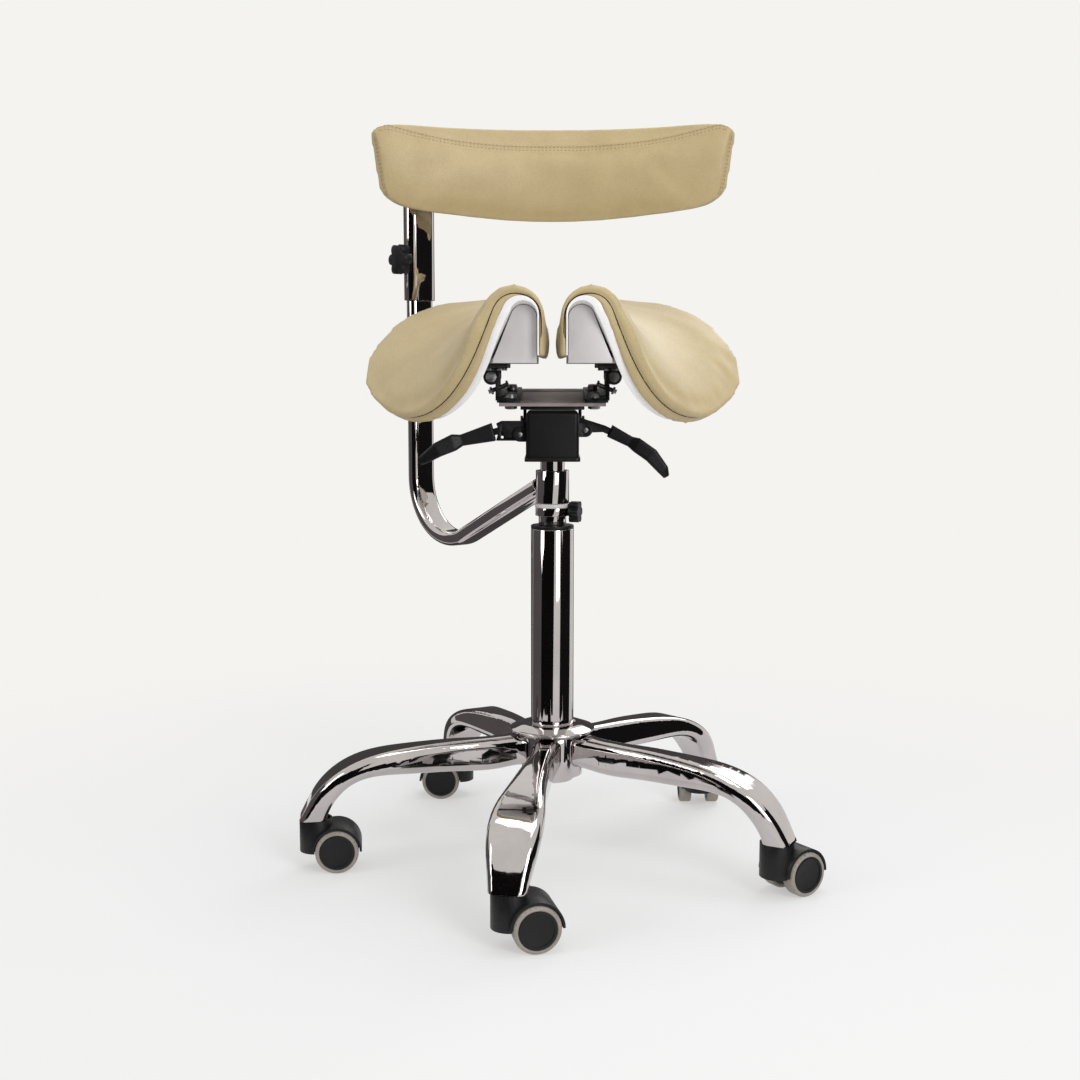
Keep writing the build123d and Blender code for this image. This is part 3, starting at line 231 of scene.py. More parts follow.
def make_card(name, start, end, height, grey):
    """A sheet that lies on the floor and then rises as a wall, over a range of headings."""
    profile = [(CARD_NEAR, CARD_LIFT), (CARD_FAR - CARD_BEND, CARD_LIFT), (CARD_FAR, CARD_BEND),
               (CARD_FAR, height)]
    corners = []
    for step in range(CARD_STEPS + 1):
        heading = math.radians(start + (end - start) * step / CARD_STEPS)
        corners += [(reach * math.sin(heading), -reach * math.cos(heading), z)
                    for reach, z in profile]
    rows = len(profile)
    faces = []
    for step in range(CARD_STEPS):
        for row in range(rows - 1):
            corner = step * rows + row
            faces.append((corner, corner + 1, corner + rows + 1, corner + rows))
    mesh = bpy.data.meshes.new(name)
    mesh.from_pydata(corners, [], faces)
    material = bpy.data.materials.new(name)
    material.use_nodes = True
    tree = material.node_tree
    tree.nodes.clear()
    glow = add_node(tree, "ShaderNodeEmission", (0, 0),
                    in_Color=(*(grey * share for share in CARD_TINT), 1.0))
    output = add_node(tree, "ShaderNodeOutputMaterial", (200, 0))
    tree.links.new(glow.outputs[0], output.inputs["Surface"])
    mesh.materials.append(material)
    card = bpy.data.objects.new(name, mesh)
    card.visible_camera = False
    card.visible_diffuse = False
    card.visible_shadow = False
    card.visible_transmission = False
    scene.collection.objects.link(card)


for card_values in CARDS:
    make_card(*card_values)
print("cards:", [card_values[0] for card_values in CARDS])

# %% [markdown]
# ## Effects that several finishes share
# Mottled colour, a fine grain, worn edges and settled dust turn up on more than one material.
# Each is a node group with named sockets, so that every finish uses it with its own values.


# %% Mottled colour
def new_group(name, inputs, outputs):
    """An empty shader node group with the given (name, kind, default) sockets."""
    tree = bpy.data.node_groups.new(name, "ShaderNodeTree")
    for label, kind, default in inputs:
        socket = tree.interface.new_socket(label, in_out="INPUT", socket_type=kind)
        socket.default_value = default
    for label, kind in outputs:
        tree.interface.new_socket(label, in_out="OUTPUT", socket_type=kind)
    start = add_node(tree, "NodeGroupInput", (-900, 0))
    end = add_node(tree, "NodeGroupOutput", (500, 0))
    return tree, start, end


def mottle_group():
    """Slow change between two tones of one colour; a larger scale gives smaller patches."""
    tree, start, end = new_group(
        "mottled_colour",
        [("Tone", "NodeSocketColor", (0.5, 0.5, 0.5, 1)),
         ("Second Tone", "NodeSocketColor", (0.4, 0.4, 0.4, 1)),
         ("Scale", "NodeSocketFloat", 20.0)],
        [("Color", "NodeSocketColor")])
    place = add_node(tree, "ShaderNodeTexCoord", (-900, -250))
    noise = add_node(tree, "ShaderNodeTexNoise", (-600, 0), in_Detail=4.0, in_Roughness=0.6)
    spread = add_node(tree, "ShaderNodeMapRange", (-350, 0), in_From_Min=0.35, in_From_Max=0.65)
    mix = add_node(tree, "ShaderNodeMix", (-100, 0), data_type="RGBA")
    tree.links.new(place.outputs["Object"], noise.inputs["Vector"])
    tree.links.new(start.outputs["Scale"], noise.inputs["Scale"])
    tree.links.new(noise.outputs["Fac"], spread.inputs["Value"])
    tree.links.new(spread.outputs["Result"], mix.inputs["Factor"])
    tree.links.new(start.outputs["Tone"], mix.inputs[6])
    tree.links.new(start.outputs["Second Tone"], mix.inputs[7])
    tree.links.new(mix.outputs[2], end.inputs["Color"])
    return tree


mottled_colour = mottle_group()
print("group:", mottled_colour.name)


# %% Pebbled grain
def grain_group():
    """Rounded cells with a little noise, as a height and as a mask of its hollows."""
    tree, start, end = new_group(
        "pebbled_grain",
        [("Scale", "NodeSocketFloat", 900.0), ("Noise Scale", "NodeSocketFloat", 2500.0)],
        [("Height", "NodeSocketFloat"), ("Hollows", "NodeSocketFloat")])
    place = add_node(tree, "ShaderNodeTexCoord", (-900, -250))
    cells = add_node(tree, "ShaderNodeTexVoronoi", (-600, 100), feature="SMOOTH_F1",
                     in_Smoothness=0.4)
    specks = add_node(tree, "ShaderNodeTexNoise", (-600, -250), in_Detail=2.0)
    hollows = add_node(tree, "ShaderNodeMapRange", (-350, 100), in_From_Min=0.25, in_From_Max=0.75)
    blend = add_node(tree, "ShaderNodeMath", (-100, -50), operation="MULTIPLY_ADD")
    blend.inputs[1].default_value = -0.35
    tree.links.new(place.outputs["Object"], cells.inputs["Vector"])
    tree.links.new(place.outputs["Object"], specks.inputs["Vector"])
    tree.links.new(start.outputs["Scale"], cells.inputs["Scale"])
    tree.links.new(start.outputs["Noise Scale"], specks.inputs["Scale"])
    tree.links.new(cells.outputs["Distance"], hollows.inputs["Value"])
    tree.links.new(specks.outputs["Fac"], blend.inputs[0])
    tree.links.new(hollows.outputs["Result"], blend.inputs[2])
    tree.links.new(blend.outputs[0], end.inputs["Height"])
    tree.links.new(hollows.outputs["Result"], end.inputs["Hollows"])
    return tree


pebbled_grain = grain_group()
print("group:", pebbled_grain.name)


# %% Rubbed edges
def patchy_group(name, amount, scale, detail, roughness, low, high):
    """A mask group that is broken up by noise, and the socket for what it breaks up."""
    tree, start, end = new_group(
        name,
        [("Amount", "NodeSocketFloat", amount), ("Scale", "NodeSocketFloat", scale)],
        [("Mask", "NodeSocketFloat")])
    place = add_node(tree, "ShaderNodeTexCoord", (-900, -250))
    noise = add_node(tree, "ShaderNodeTexNoise", (-600, -200), in_Detail=detail,
                     in_Roughness=roughness)
    patches = add_node(tree, "ShaderNodeMapRange", (-350, -200), in_From_Min=low, in_From_Max=high)
    both = add_node(tree, "ShaderNodeMath", (-100, 100), operation="MULTIPLY")
    scaled = add_node(tree, "ShaderNodeMath", (120, 100), operation="MULTIPLY", use_clamp=True)
    tree.links.new(place.outputs["Object"], noise.inputs["Vector"])
    tree.links.new(start.outputs["Scale"], noise.inputs["Scale"])
    tree.links.new(noise.outputs["Fac"], patches.inputs["Value"])
    tree.links.new(patches.outputs["Result"], both.inputs[1])
    tree.links.new(both.outputs[0], scaled.inputs[0])
    tree.links.new(start.outputs["Amount"], scaled.inputs[1])
    tree.links.new(scaled.outputs[0], end.inputs["Mask"])
    return tree, both.inputs[0]


def wear_group():
    """A mask of the edges that hands and feet rub."""
    tree, broken_up = patchy_group("rubbed_edges", amount=0.5, scale=120.0, detail=5.0,
                                   roughness=0.5, low=0.45, high=0.7)
    shape = add_node(tree, "ShaderNodeNewGeometry", (-900, 200))
    edges = add_node(tree, "ShaderNodeMapRange", (-600, 200), in_From_Min=0.53, in_From_Max=0.62)
    tree.links.new(shape.outputs["Pointiness"], edges.inputs["Value"])
    tree.links.new(edges.outputs["Result"], broken_up)
    return tree


rubbed_edges = wear_group()
print("group:", rubbed_edges.name)


# %% Settled dust
def dust_group():
    """A mask of dust that settles on faces that look up, thicker in patches."""
    tree, broken_up = patchy_group("settled_dust", amount=0.3, scale=60.0, detail=6.0,
                                   roughness=0.65, low=0.4, high=0.75)
    shape = add_node(tree, "ShaderNodeNewGeometry", (-900, 200))
    parts = add_node(tree, "ShaderNodeSeparateXYZ", (-700, 200))
    upward = add_node(tree, "ShaderNodeMapRange", (-500, 200), in_From_Min=0.2, in_From_Max=1.0)
    tree.links.new(shape.outputs["Normal"], parts.inputs[0])
    tree.links.new(parts.outputs["Z"], upward.inputs["Value"])
    tree.links.new(upward.outputs["Result"], broken_up)
    return tree


settled_dust = dust_group()
print("group:", settled_dust.name)

# %% [markdown]
# ## Finishes
# Every finish is one Principled shader. What is the same all over a surface, such as how
# metallic it is, sits on the shader's own sockets; what changes over it, such as colour,
# roughness and bump, comes from the shared groups.


# %% Finish helper
def new_finish(name, **constants):
    """A material whose Principled shader has the given constant inputs."""
    material = bpy.data.materials.new(name)
    material.use_nodes = True
    tree = material.node_tree
    shader = tree.nodes["Principled BSDF"]
    for label, value in constants.items():
        shader.inputs[label.replace("_", " ")].default_value = value
    return material, tree, shader


def use_group(tree, group, place, **values):
    """Place a shared group in a material with its own values."""
    node = add_node(tree, "ShaderNodeGroup", place, node_tree=group)
    for label, value in values.items():
        node.inputs[label.replace("_", " ")].default_value = value
    return node


def mix_colour(tree, mask, under, over, place):
    """Lay one colour over another where a mask says so; a colour is a socket or a value."""
    mix = add_node(tree, "ShaderNodeMix", place, data_type="RGBA")
    tree.links.new(mask, mix.inputs[0])
    for socket, colour in ((mix.inputs[6], under), (mix.inputs[7], over)):
        if isinstance(colour, tuple):
            socket.default_value = colour
        else:
            tree.links.new(colour, socket)
    return mix.outputs[2]


def spread_value(tree, value, low, high, place):
    """Stretch a 0 to 1 value between two ends."""
    node = add_node(tree, "ShaderNodeMapRange", place, in_To_Min=low, in_To_Max=high)
    tree.links.new(value, node.inputs["Value"])
    return node.outputs["Result"]


def bump(tree, shader, height, strength, distance, place):
    """Turn a height into the shader's normal."""
    node = add_node(tree, "ShaderNodeBump", place, in_Strength=strength, in_Distance=distance)
    tree.links.new(height, node.inputs["Height"])
    tree.links.new(node.outputs["Normal"], shader.inputs["Normal"])


# %% [markdown]
# ### Chrome and steel
# The base, the column and the backrest's arm are plated, and the pins, bolts and screws are bare
# steel. A plain mirror would look like new glass, so dust dulls the plating here and there, and
# the steel has a fine grain.


# %% Chrome and steel
def chrome_plate():
    """Polished plating: nearly a mirror, duller where dust lies."""
    material, tree, shader = new_finish("chrome_plate", Metallic=1.0)
    tone = use_group(tree, mottled_colour, (-700, 200), Tone=linear(200, 194, 193),
                     Second_Tone=linear(187, 182, 181), Scale=14.0)
    dust = use_group(tree, settled_dust, (-700, -100), Amount=0.25, Scale=45.0)
    tree.links.new(tone.outputs["Color"], shader.inputs["Base Color"])
    rough = spread_value(tree, dust.outputs["Mask"], 0.045, 0.16, (-350, -100))
    tree.links.new(rough, shader.inputs["Roughness"])
    return material


def bare_steel():
    """Turned or rolled steel, dull, with a fine grain."""
    material, tree, shader = new_finish("bare_steel", Metallic=1.0)
    tone = use_group(tree, mottled_colour, (-700, 200), Tone=linear(150, 149, 150),
                     Second_Tone=linear(118, 117, 118), Scale=60.0)
    grain = use_group(tree, pebbled_grain, (-700, -150), Scale=1500.0, Noise_Scale=4000.0)
    tree.links.new(tone.outputs["Color"], shader.inputs["Base Color"])
    rough = spread_value(tree, grain.outputs["Hollows"], 0.28, 0.42, (-350, -150))
    tree.links.new(rough, shader.inputs["Roughness"])
    bump(tree, shader, grain.outputs["Height"], 0.15, 0.0001, (-350, -350))
    return material


finishes = {"chrome": chrome_plate(), "steel": bare_steel()}
print("finishes:", list(finishes))

# %% [markdown]
# ### Paint and plastic
# Levers, hinges and housing are painted black, and casters, grips and knobs are moulded. The
# tyres are grey rubber, the shells white and their trays grey. One recipe serves all the rubbed
# and dusty finishes and one the clean, pale ones, so that only the numbers differ.


# %% Paint and plastic
DUST = linear(128, 124, 118)
FINER_NOISE = 2.5


def dark_finish(name, tone, second, worn, low, high, grain_scale, grain_strength, dust_amount):
    """Paint, moulding or rubber: mottled, rubbed paler at its edges, dusty on top."""
    material, tree, shader = new_finish(name, Specular_IOR_Level=0.32)
    colour = use_group(tree, mottled_colour, (-900, 300), Tone=tone, Second_Tone=second, Scale=55.0)
    wear = use_group(tree, rubbed_edges, (-900, 0), Amount=0.6, Scale=160.0)
    dust = use_group(tree, settled_dust, (-900, -200), Amount=dust_amount, Scale=70.0)
    grain = use_group(tree, pebbled_grain, (-900, -400), Scale=grain_scale,
                      Noise_Scale=grain_scale * FINER_NOISE)
    rubbed = mix_colour(tree, wear.outputs["Mask"], colour.outputs["Color"], worn, (-550, 200))
    dusty = mix_colour(tree, dust.outputs["Mask"], rubbed, DUST, (-300, 200))
    tree.links.new(dusty, shader.inputs["Base Color"])
    rough = spread_value(tree, grain.outputs["Hollows"], low, high, (-550, -300))
    tree.links.new(rough, shader.inputs["Roughness"])
    bump(tree, shader, grain.outputs["Height"], grain_strength, 0.0002, (-300, -300))
    return material


def pale_finish(name, tone, second, low, high, coat):
    """White or grey moulding with a faint orange-peel skin."""
    material, tree, shader = new_finish(name, Coat_Weight=coat, Coat_Roughness=0.08)
    colour = use_group(tree, mottled_colour, (-700, 250), Tone=tone, Second_Tone=second, Scale=18.0)
    grain = use_group(tree, pebbled_grain, (-700, -100), Scale=420.0, Noise_Scale=900.0)
    tree.links.new(colour.outputs["Color"], shader.inputs["Base Color"])
    rough = spread_value(tree, grain.outputs["Hollows"], low, high, (-350, -100))
    tree.links.new(rough, shader.inputs["Roughness"])
    bump(tree, shader, grain.outputs["Height"], 0.06, 0.0002, (-350, -300))
    return material


finishes.update(
    black_metal=dark_finish(
        "black_paint", tone=linear(15, 14, 15), second=linear(10, 10, 11),
        worn=linear(52, 50, 50), low=0.34, high=0.50, grain_scale=1400.0,
        grain_strength=0.15, dust_amount=0.02),
    black_plastic=dark_finish(
        "black_moulding", tone=linear(17, 16, 18), second=linear(11, 11, 12),
        worn=linear(44, 43, 43), low=0.36, high=0.54, grain_scale=1100.0,
        grain_strength=0.2, dust_amount=0.02),
    grey_plate=dark_finish(
        "grey_paint", tone=linear(150, 140, 138), second=linear(134, 125, 124),
        worn=linear(170, 162, 160), low=0.38, high=0.55, grain_scale=1300.0,
        grain_strength=0.2, dust_amount=0.05),
    tyre=dark_finish(
        "tyre_rubber", tone=linear(150, 143, 135), second=linear(136, 129, 121),
        worn=linear(170, 163, 156), low=0.45, high=0.65, grain_scale=1600.0,
        grain_strength=0.2, dust_amount=0.12),
    white_plastic=pale_finish(
        "white_moulding", tone=linear(236, 234, 233), second=linear(228, 226, 226),
        low=0.2, high=0.3, coat=0.2),
    grey_plastic=pale_finish(
        "grey_moulding", tone=linear(192, 188, 187), second=linear(182, 178, 178),
        low=0.34, high=0.46, coat=0.05),
)
print("finishes:", list(finishes))

# %% [markdown]
# ### Upholstery
# The cover is tan coated fabric with a leather grain. A flat colour would look like plastic, and
# real leather creases far more, so the grain is a bump of small cells, darker in its pores. The
# thread and the dark line of a seam have plain finishes of their own; the line is painted shade.


# %% Upholstery
def tan_upholstery():
    """Coated fabric with a fine leather grain, a little darker in its pores."""
    material, tree, shader = new_finish("tan_upholstery", Sheen_Weight=0.08, Sheen_Roughness=0.4)
    colour = use_group(tree, mottled_colour, (-900, 300), Tone=linear(184, 166, 124),
                       Second_Tone=linear(176, 157, 116), Scale=16.0)
    grain = use_group(tree, pebbled_grain, (-900, -50), Scale=780.0, Noise_Scale=2100.0)
    wear = use_group(tree, rubbed_edges, (-900, -300), Amount=0.35, Scale=80.0)
    pores = spread_value(tree, grain.outputs["Hollows"], 0.0, 0.22, (-600, 0))
    shaded = mix_colour(tree, pores, colour.outputs["Color"], linear(142, 122, 88), (-350, 300))
    rubbed = mix_colour(tree, wear.outputs["Mask"], shaded, linear(206, 188, 152), (-150, 300))
    tree.links.new(rubbed, shader.inputs["Base Color"])
    rough = spread_value(tree, grain.outputs["Hollows"], 0.44, 0.60, (-350, -50))
    tree.links.new(rough, shader.inputs["Roughness"])
    bump(tree, shader, grain.outputs["Height"], 0.30, 0.0003, (-150, -150))
    return material


def plain_finish(name, tone, second, scale, **constants):
    """One mottled colour, for thread and for the painted shade of the dark line where panels turn
    in.
    """
    material, tree, shader = new_finish(name, **constants)
    colour = use_group(tree, mottled_colour, (-500, 200), Tone=tone, Second_Tone=second,
                       Scale=scale)
    tree.links.new(colour.outputs["Color"], shader.inputs["Base Color"])
    return material


finishes.update(
    upholstery=tan_upholstery(),
    thread=plain_finish("sewing_thread", tone=linear(168, 147, 108), second=linear(140, 120, 86),
                        scale=900.0, Roughness=0.7),
    # The seam finish is painted shade: a dark brown for the shadow in the crease where the panels
    # turn in.
    seam=plain_finish("painted_seam_shade", tone=linear(62, 50, 33), second=linear(42, 33, 21), scale=300.0,
                      Roughness=0.9, Specular_IOR_Level=0.1),
)
print("finishes:", list(finishes))

# %% [markdown]
# ## Where the seams run
# On the saddle a top panel is sewn to a band all round, a little way under the edge. The seam
# follows the cross-sections of the saddle: a crown arc near the middle of the stool and a flank
# that slopes down and out. The same few sizes as in the CAD model give that line. The backrest
# has one seam along its top, which dips in the middle, and one down each end.

# %% Saddle edge
SADDLE = {
    "front": -0.150, "back": 0.160, "low_y": 0.010, "low_z": 0.6475, "rise": 0.72, "lip": 0.009,
    "crown": 0.039, "crown_slope": 0.048, "flank": 38.0, "flank_rate": 220.0, "wide_y": 0.055,
    "half_width": 0.222, "front_width": 0.062, "front_reach": 0.210, "front_power": 1.3,
    "back_width": 0.060, "back_reach": 0.118, "edge_lean": 0.5, "lip_run": 0.026,
}


def saddle_edge_x(y):
    """How far out the saddle's edge lies, at a place from front to back."""
    s = SADDLE
    if y < s["wide_y"]:
        share = (s["wide_y"] - y) / s["front_reach"]
        swell = max(1 - share ** s["front_power"], 0) ** (1 / s["front_power"])
        return s["front_width"] + (s["half_width"] - s["front_width"]) * swell
    share = (y - s["wide_y"]) / s["back_reach"]
    return s["back_width"] + (s["half_width"] - s["back_width"]) * math.sqrt(1 - share ** 2)


def saddle_section(y, depth):
    """The crown's centre and radius, the flank's slope and its outer end, a depth under the top."""
    s = SADDLE
    radius = s["crown"] + s["crown_slope"] * y
    centre = (s["lip"] + radius, s["low_z"] + s["rise"] * (y - s["low_y"]) ** 2 - radius)
    slope = math.radians(s["flank"] - s["flank_rate"] * y)
    inner = radius - depth
    tangent = (centre[0] + inner * math.sin(slope), centre[1] + inner * math.cos(slope))
    end_x = saddle_edge_x(y) - depth * s["edge_lean"]
    end_z = tangent[1] - (end_x - tangent[0]) * math.tan(slope)
    return centre, inner, slope, (end_x, end_z)


print("saddle half:", saddle_edge_x(SADDLE["wide_y"]), "m wide")

# %% Saddle seam
SEAM_STEP = 0.0012
SEAM_BELOW_TOP = 0.0092
CROWN_STEPS = 16
RIM_STEPS = 60


def crossing(y, mirror, depth):
    """Points along one end of the saddle, from the inner lip over the crown to the flank's end."""
    centre, inner, slope, end = saddle_section(y, depth)
    points = [Vector((mirror * (centre[0] - inner), y, centre[1] - SADDLE["lip_run"]))]
    for step in range(CROWN_STEPS + 1):
        turn = math.pi - step / CROWN_STEPS * (math.pi / 2 + slope)
        points.append(Vector((mirror * (centre[0] + inner * math.cos(turn)), y,
                              centre[1] + inner * math.sin(turn))))
    points.append(Vector((mirror * end[0], y, end[1])))
    return points


def saddle_seam(mirror, depth):
    """The three runs of a seam: over the crown in front, round the flank, and over the back."""
    front, back = SADDLE["front"], SADDLE["back"]
    rim = []
    for step in range(1, RIM_STEPS):
        y = front + (back - front) * step / RIM_STEPS
        end_x, end_z = saddle_section(y, depth)[3]
        rim.append(Vector((mirror * end_x, y, end_z)))
    return crossing(front, mirror, depth), rim, list(reversed(crossing(back, mirror, depth)))


def even_line(points, step):
    """The same line with points a fixed step apart."""
    line = [points[0]]
    left = step
    for a, b in zip(points, points[1:]):
        length = (b - a).length
        done = 0.0
        while length - done >= left:
            done += left
            line.append(a.lerp(b, done / length))
            left = step
        left -= length - done
    return line


def joined_line(runs):
    """Some runs of points as one even line."""
    return even_line([point for run in runs for point in run], SEAM_STEP)


print("saddle seam:", len(joined_line(saddle_seam(1, SEAM_BELOW_TOP))), "points")

# %% Backrest seam lines
PAD_CENTRE_Y = -0.181
PAD_SEAM_DROP = 0.020
PAD_SEAM_POWER = 2.6
PAD_SEAM_TOP = 0.004
PAD_TOP_SHARE = 0.955
PAD_CORNER_DROP = 0.011
PAD_END_LEAN = 0.045
PAD_END_RUN = 0.080
PAD_END_RADIUS = 0.387
PAD_BACK_RADIUS = 0.398
PAD_STEPS = 60


def surface_tree(mesh):
    """A search tree over a mesh's faces."""
    shape = bmesh.new()
    shape.from_mesh(mesh)
    tree = BVHTree.FromBMesh(shape)
    shape.free()
    return tree


pad_high = Vector(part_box("back_pad")[1])
pad_tree = surface_tree(nodes["back_pad"].data)


def pad_front(angle, z):
    """The place on the pad's front at an angle from its middle and a height."""
    outward = Vector((math.sin(angle), math.cos(angle), 0.0))
    return pad_tree.ray_cast(Vector((0.0, PAD_CENTRE_Y, z)), outward)[0]


def pad_end(angle, z):
    """A place by the pad's end face at an angle from its middle and a height."""
    outward = Vector((math.sin(angle), math.cos(angle), 0.0))
    return Vector((0.0, PAD_CENTRE_Y, z)) + outward * PAD_END_RADIUS


def top_seam_z(share):
    """The top seam dips from the corners to the middle."""
    return pad_high.z - PAD_SEAM_TOP - PAD_SEAM_DROP * (1 - abs(share) ** PAD_SEAM_POWER)


def pad_seams():
    """The seam along the pad's top and the one down each end, which start at its corners."""
    reach = math.asin(pad_high.x / PAD_BACK_RADIUS)
    corner_z = pad_high.z - PAD_CORNER_DROP
    shares = [step / PAD_STEPS for step in range(PAD_STEPS + 1)]
    lines = {}
    for label, turn in (("left", -1), ("right", 1)):
        lines[label] = [pad_end(turn * (reach - PAD_END_LEAN * share),
                                corner_z - PAD_END_RUN * share) for share in shares]
    across = [step / PAD_STEPS - 1 for step in range(2 * PAD_STEPS + 1)]
    front = [pad_front(reach * PAD_TOP_SHARE * share, top_seam_z(share)) for share in across]
    lines["top"] = [lines["left"][0]] + [place for place in front if place] + [lines["right"][0]]
    return lines


pad_lines = pad_seams()
print("pad seams:", {label: len(points) for label, points in pad_lines.items()})

# %% [markdown]
# ## Upholstered pieces
# A cushion is a sewn cover pulled over foam. Modelling it as a block looks hard; sculpting it
# takes long. Here the CAD solid is copied, covered with an even mesh, smoothed and stuffed. The
# even mesh is made of small voxels, which tear thin edges, so a thicker copy gets it, and it is
# then drawn in until it lies just off the solid.

# %% Even skin
VOXEL = 0.004
WELD_DISTANCE = 0.00002
THICKEN = 0.0025
COVER = 0.0006


def mesh_of(obj):
    """The object's mesh with its modifiers applied."""
    shown = obj.evaluated_get(bpy.context.evaluated_depsgraph_get())
    return bpy.data.meshes.new_from_object(shown)


def thickened(mesh):
    """A copy of a mesh whose faces share their corners, a little thicker all round."""
    shape = bmesh.new()
    shape.from_mesh(mesh)
    bmesh.ops.remove_doubles(shape, verts=shape.verts, dist=WELD_DISTANCE)
    bmesh.ops.recalc_face_normals(shape, faces=shape.faces)
    shape.normal_update()
    for corner in shape.verts:
        corner.co += corner.normal * THICKEN
    copy = bpy.data.meshes.new(mesh.name + "_thick")
    shape.to_mesh(copy)
    shape.free()
    return copy


def draw_in(mesh, solid):
    """Draw a thicker skin in until it lies just off the solid."""
    tree = surface_tree(solid)
    for vertex in mesh.vertices:
        place, normal, _, _ = tree.find_nearest(vertex.co)
        away = vertex.co - place
        vertex.co = place + (away.normalized() if away.dot(vertex.normal) > 0 else normal) * COVER
    mesh.update()


def even_copy(node_name, label):
    """A copy of a CAD soft solid with an even mesh, made thicker and then drawn in to it."""
    cushion = bpy.data.objects.new(label, thickened(nodes[node_name].data))
    scene.collection.objects.link(cushion)
    skin = cushion.modifiers.new("even_skin", "REMESH")
    skin.mode = "VOXEL"
    skin.voxel_size = VOXEL
    even = mesh_of(cushion)
    cushion.modifiers.clear()
    draw_in(even, nodes[node_name].data)
    cushion.data = even
    return cushion


print("even skin:", VOXEL, "m voxels,", COVER, "m off the solid")

# %% [markdown]
# ### Smoothing
# Voxels leave waves. Plain smoothing takes them out but shrinks the piece, so each step in is
# followed by one out. Only an edge that foam would round is smoothed inwards, and the saddle's
# thin rim gets back sideways what that costs it.

# %% Smoothing
FAIR_ROUNDS = 6
FINE_ROUNDS = 24
EVEN_ROUNDS = 12
SMOOTH_IN = 0.5
SMOOTH_OUT = -0.53
RIM_WIDTH = 0.008
RIM_ROUNDS = 12


def vertex_rows(mesh, kind):
    """The places ("co") or the normals ("normal") of all vertices, one row each."""
    rows = numpy.empty(len(mesh.vertices) * 3)
    mesh.vertices.foreach_get(kind, rows)
    return rows.reshape(-1, 3)


def set_places(mesh, places):
    """Move every vertex to its row of the given places."""
    mesh.vertices.foreach_set("co", places.ravel())
    mesh.update()


def neighbour_mean(mesh):
    """A function that averages rows of values over each vertex's neighbours."""
    ends = numpy.empty(len(mesh.edges) * 2, dtype=numpy.int32)
    mesh.edges.foreach_get("vertices", ends)
    ends = ends.reshape(-1, 2)
    degree = numpy.bincount(ends.ravel(), minlength=len(mesh.vertices))[:, None]

    def mean(rows):
        total = numpy.zeros_like(rows)
        numpy.add.at(total, ends[:, 0], rows[ends[:, 1]])
        numpy.add.at(total, ends[:, 1], rows[ends[:, 0]])
        return total / degree

    return mean


def fair(mesh, rounds):
    """Take out the waves that the voxels leave: smooth in, then out, so nothing shrinks."""
    places = vertex_rows(mesh, "co")
    mean = neighbour_mean(mesh)
    for _ in range(rounds):
        for weight in (SMOOTH_IN, SMOOTH_OUT):
            places += weight * (mean(places) - places)
    set_places(mesh, places)


def point_tree(points):
    """A search tree over points."""
    tree = KDTree(len(points))
    for index, point in enumerate(points):
        tree.insert(point, index)
    tree.balance()
    return tree


def distances(mesh, points):
    """How far each vertex lies from the nearest of some points."""
    tree = point_tree(points)
    return numpy.array([tree.find(vertex.co)[2] for vertex in mesh.vertices])[:, None]


def round_over(mesh, edge, width, rounds):
    """Round a hard edge, as foam under a tight cover does."""
    weight = SMOOTH_IN * numpy.exp(-(distances(mesh, edge) / width) ** 2)
    places = vertex_rows(mesh, "co")
    mean = neighbour_mean(mesh)
    for _ in range(rounds):
        places += weight * (mean(places) - places)
    set_places(mesh, places)


def calm_normals(mesh):
    """Outward directions, evened out over the neighbours."""
    outward = vertex_rows(mesh, "normal")
    mean = neighbour_mean(mesh)
    for _ in range(EVEN_ROUNDS):
        outward = outward + mean(outward)
        outward /= numpy.linalg.norm(outward, axis=1, keepdims=True)
    return outward


def even_rim(mesh, rim):
    """Take the waves out of a thin rim, and give it back the reach that this costs."""
    reach = numpy.abs(vertex_rows(mesh, "co")[:, 0]).max()
    round_over(mesh, rim, RIM_WIDTH, RIM_ROUNDS)
    places = vertex_rows(mesh, "co")
    lost = reach - numpy.abs(places[:, 0]).max()
    sideways = calm_normals(mesh) * (1, 1, 0)
    places += sideways * (lost * numpy.exp(-(distances(mesh, rim) / RIM_WIDTH) ** 2))
    set_places(mesh, places)


print("smoothing:", FAIR_ROUNDS, "rounds on the even skin,", FINE_ROUNDS, "on the finer one")

# %% [markdown]
# ### Stuffing
# Foam pushes a tight cover out between the places where it is fixed. A short cloth simulation
# with a little pressure shows how far, while the side that sits on the shell and the seams are
# pinned. Only its swelling is kept. The saddle then gets more foam towards the back.

# %% Stuffing
PRESSURE = 4.0
CLOTH_FRAMES = 20
INSET = 0.001
SWELL_CAP = 0.005
HOLD_REACH = 0.0035
STUFF_REACH = 0.014
EDGE_WIDTH = 0.011
EDGE_ROUNDS = 9


def hold(cushion, neighbour, seam):
    """Name the vertices that lie on the neighbour or are sewn down along a seam."""
    tree = surface_tree(nodes[neighbour].data)
    sewn = distances(cushion.data, seam)
    held = [v.index for v in cushion.data.vertices
            if tree.find_nearest(v.co)[3] < HOLD_REACH or sewn[v.index] < HOLD_REACH]
    cushion.vertex_groups.new(name="held").add(held, 1.0, "REPLACE")
    return set(held)


def stuff(cushion, held, stuffing):
    """Fill the cover from the held places up to its full stuffing."""
    mesh = cushion.data
    outward = calm_normals(mesh)
    away = distances(mesh, [mesh.vertices[index].co for index in held])
    depth = numpy.array([stuffing(vertex.co) for vertex in mesh.vertices])[:, None]
    rise = 1 - numpy.exp(-away / STUFF_REACH)
    set_places(mesh, vertex_rows(mesh, "co") + outward * depth * rise)


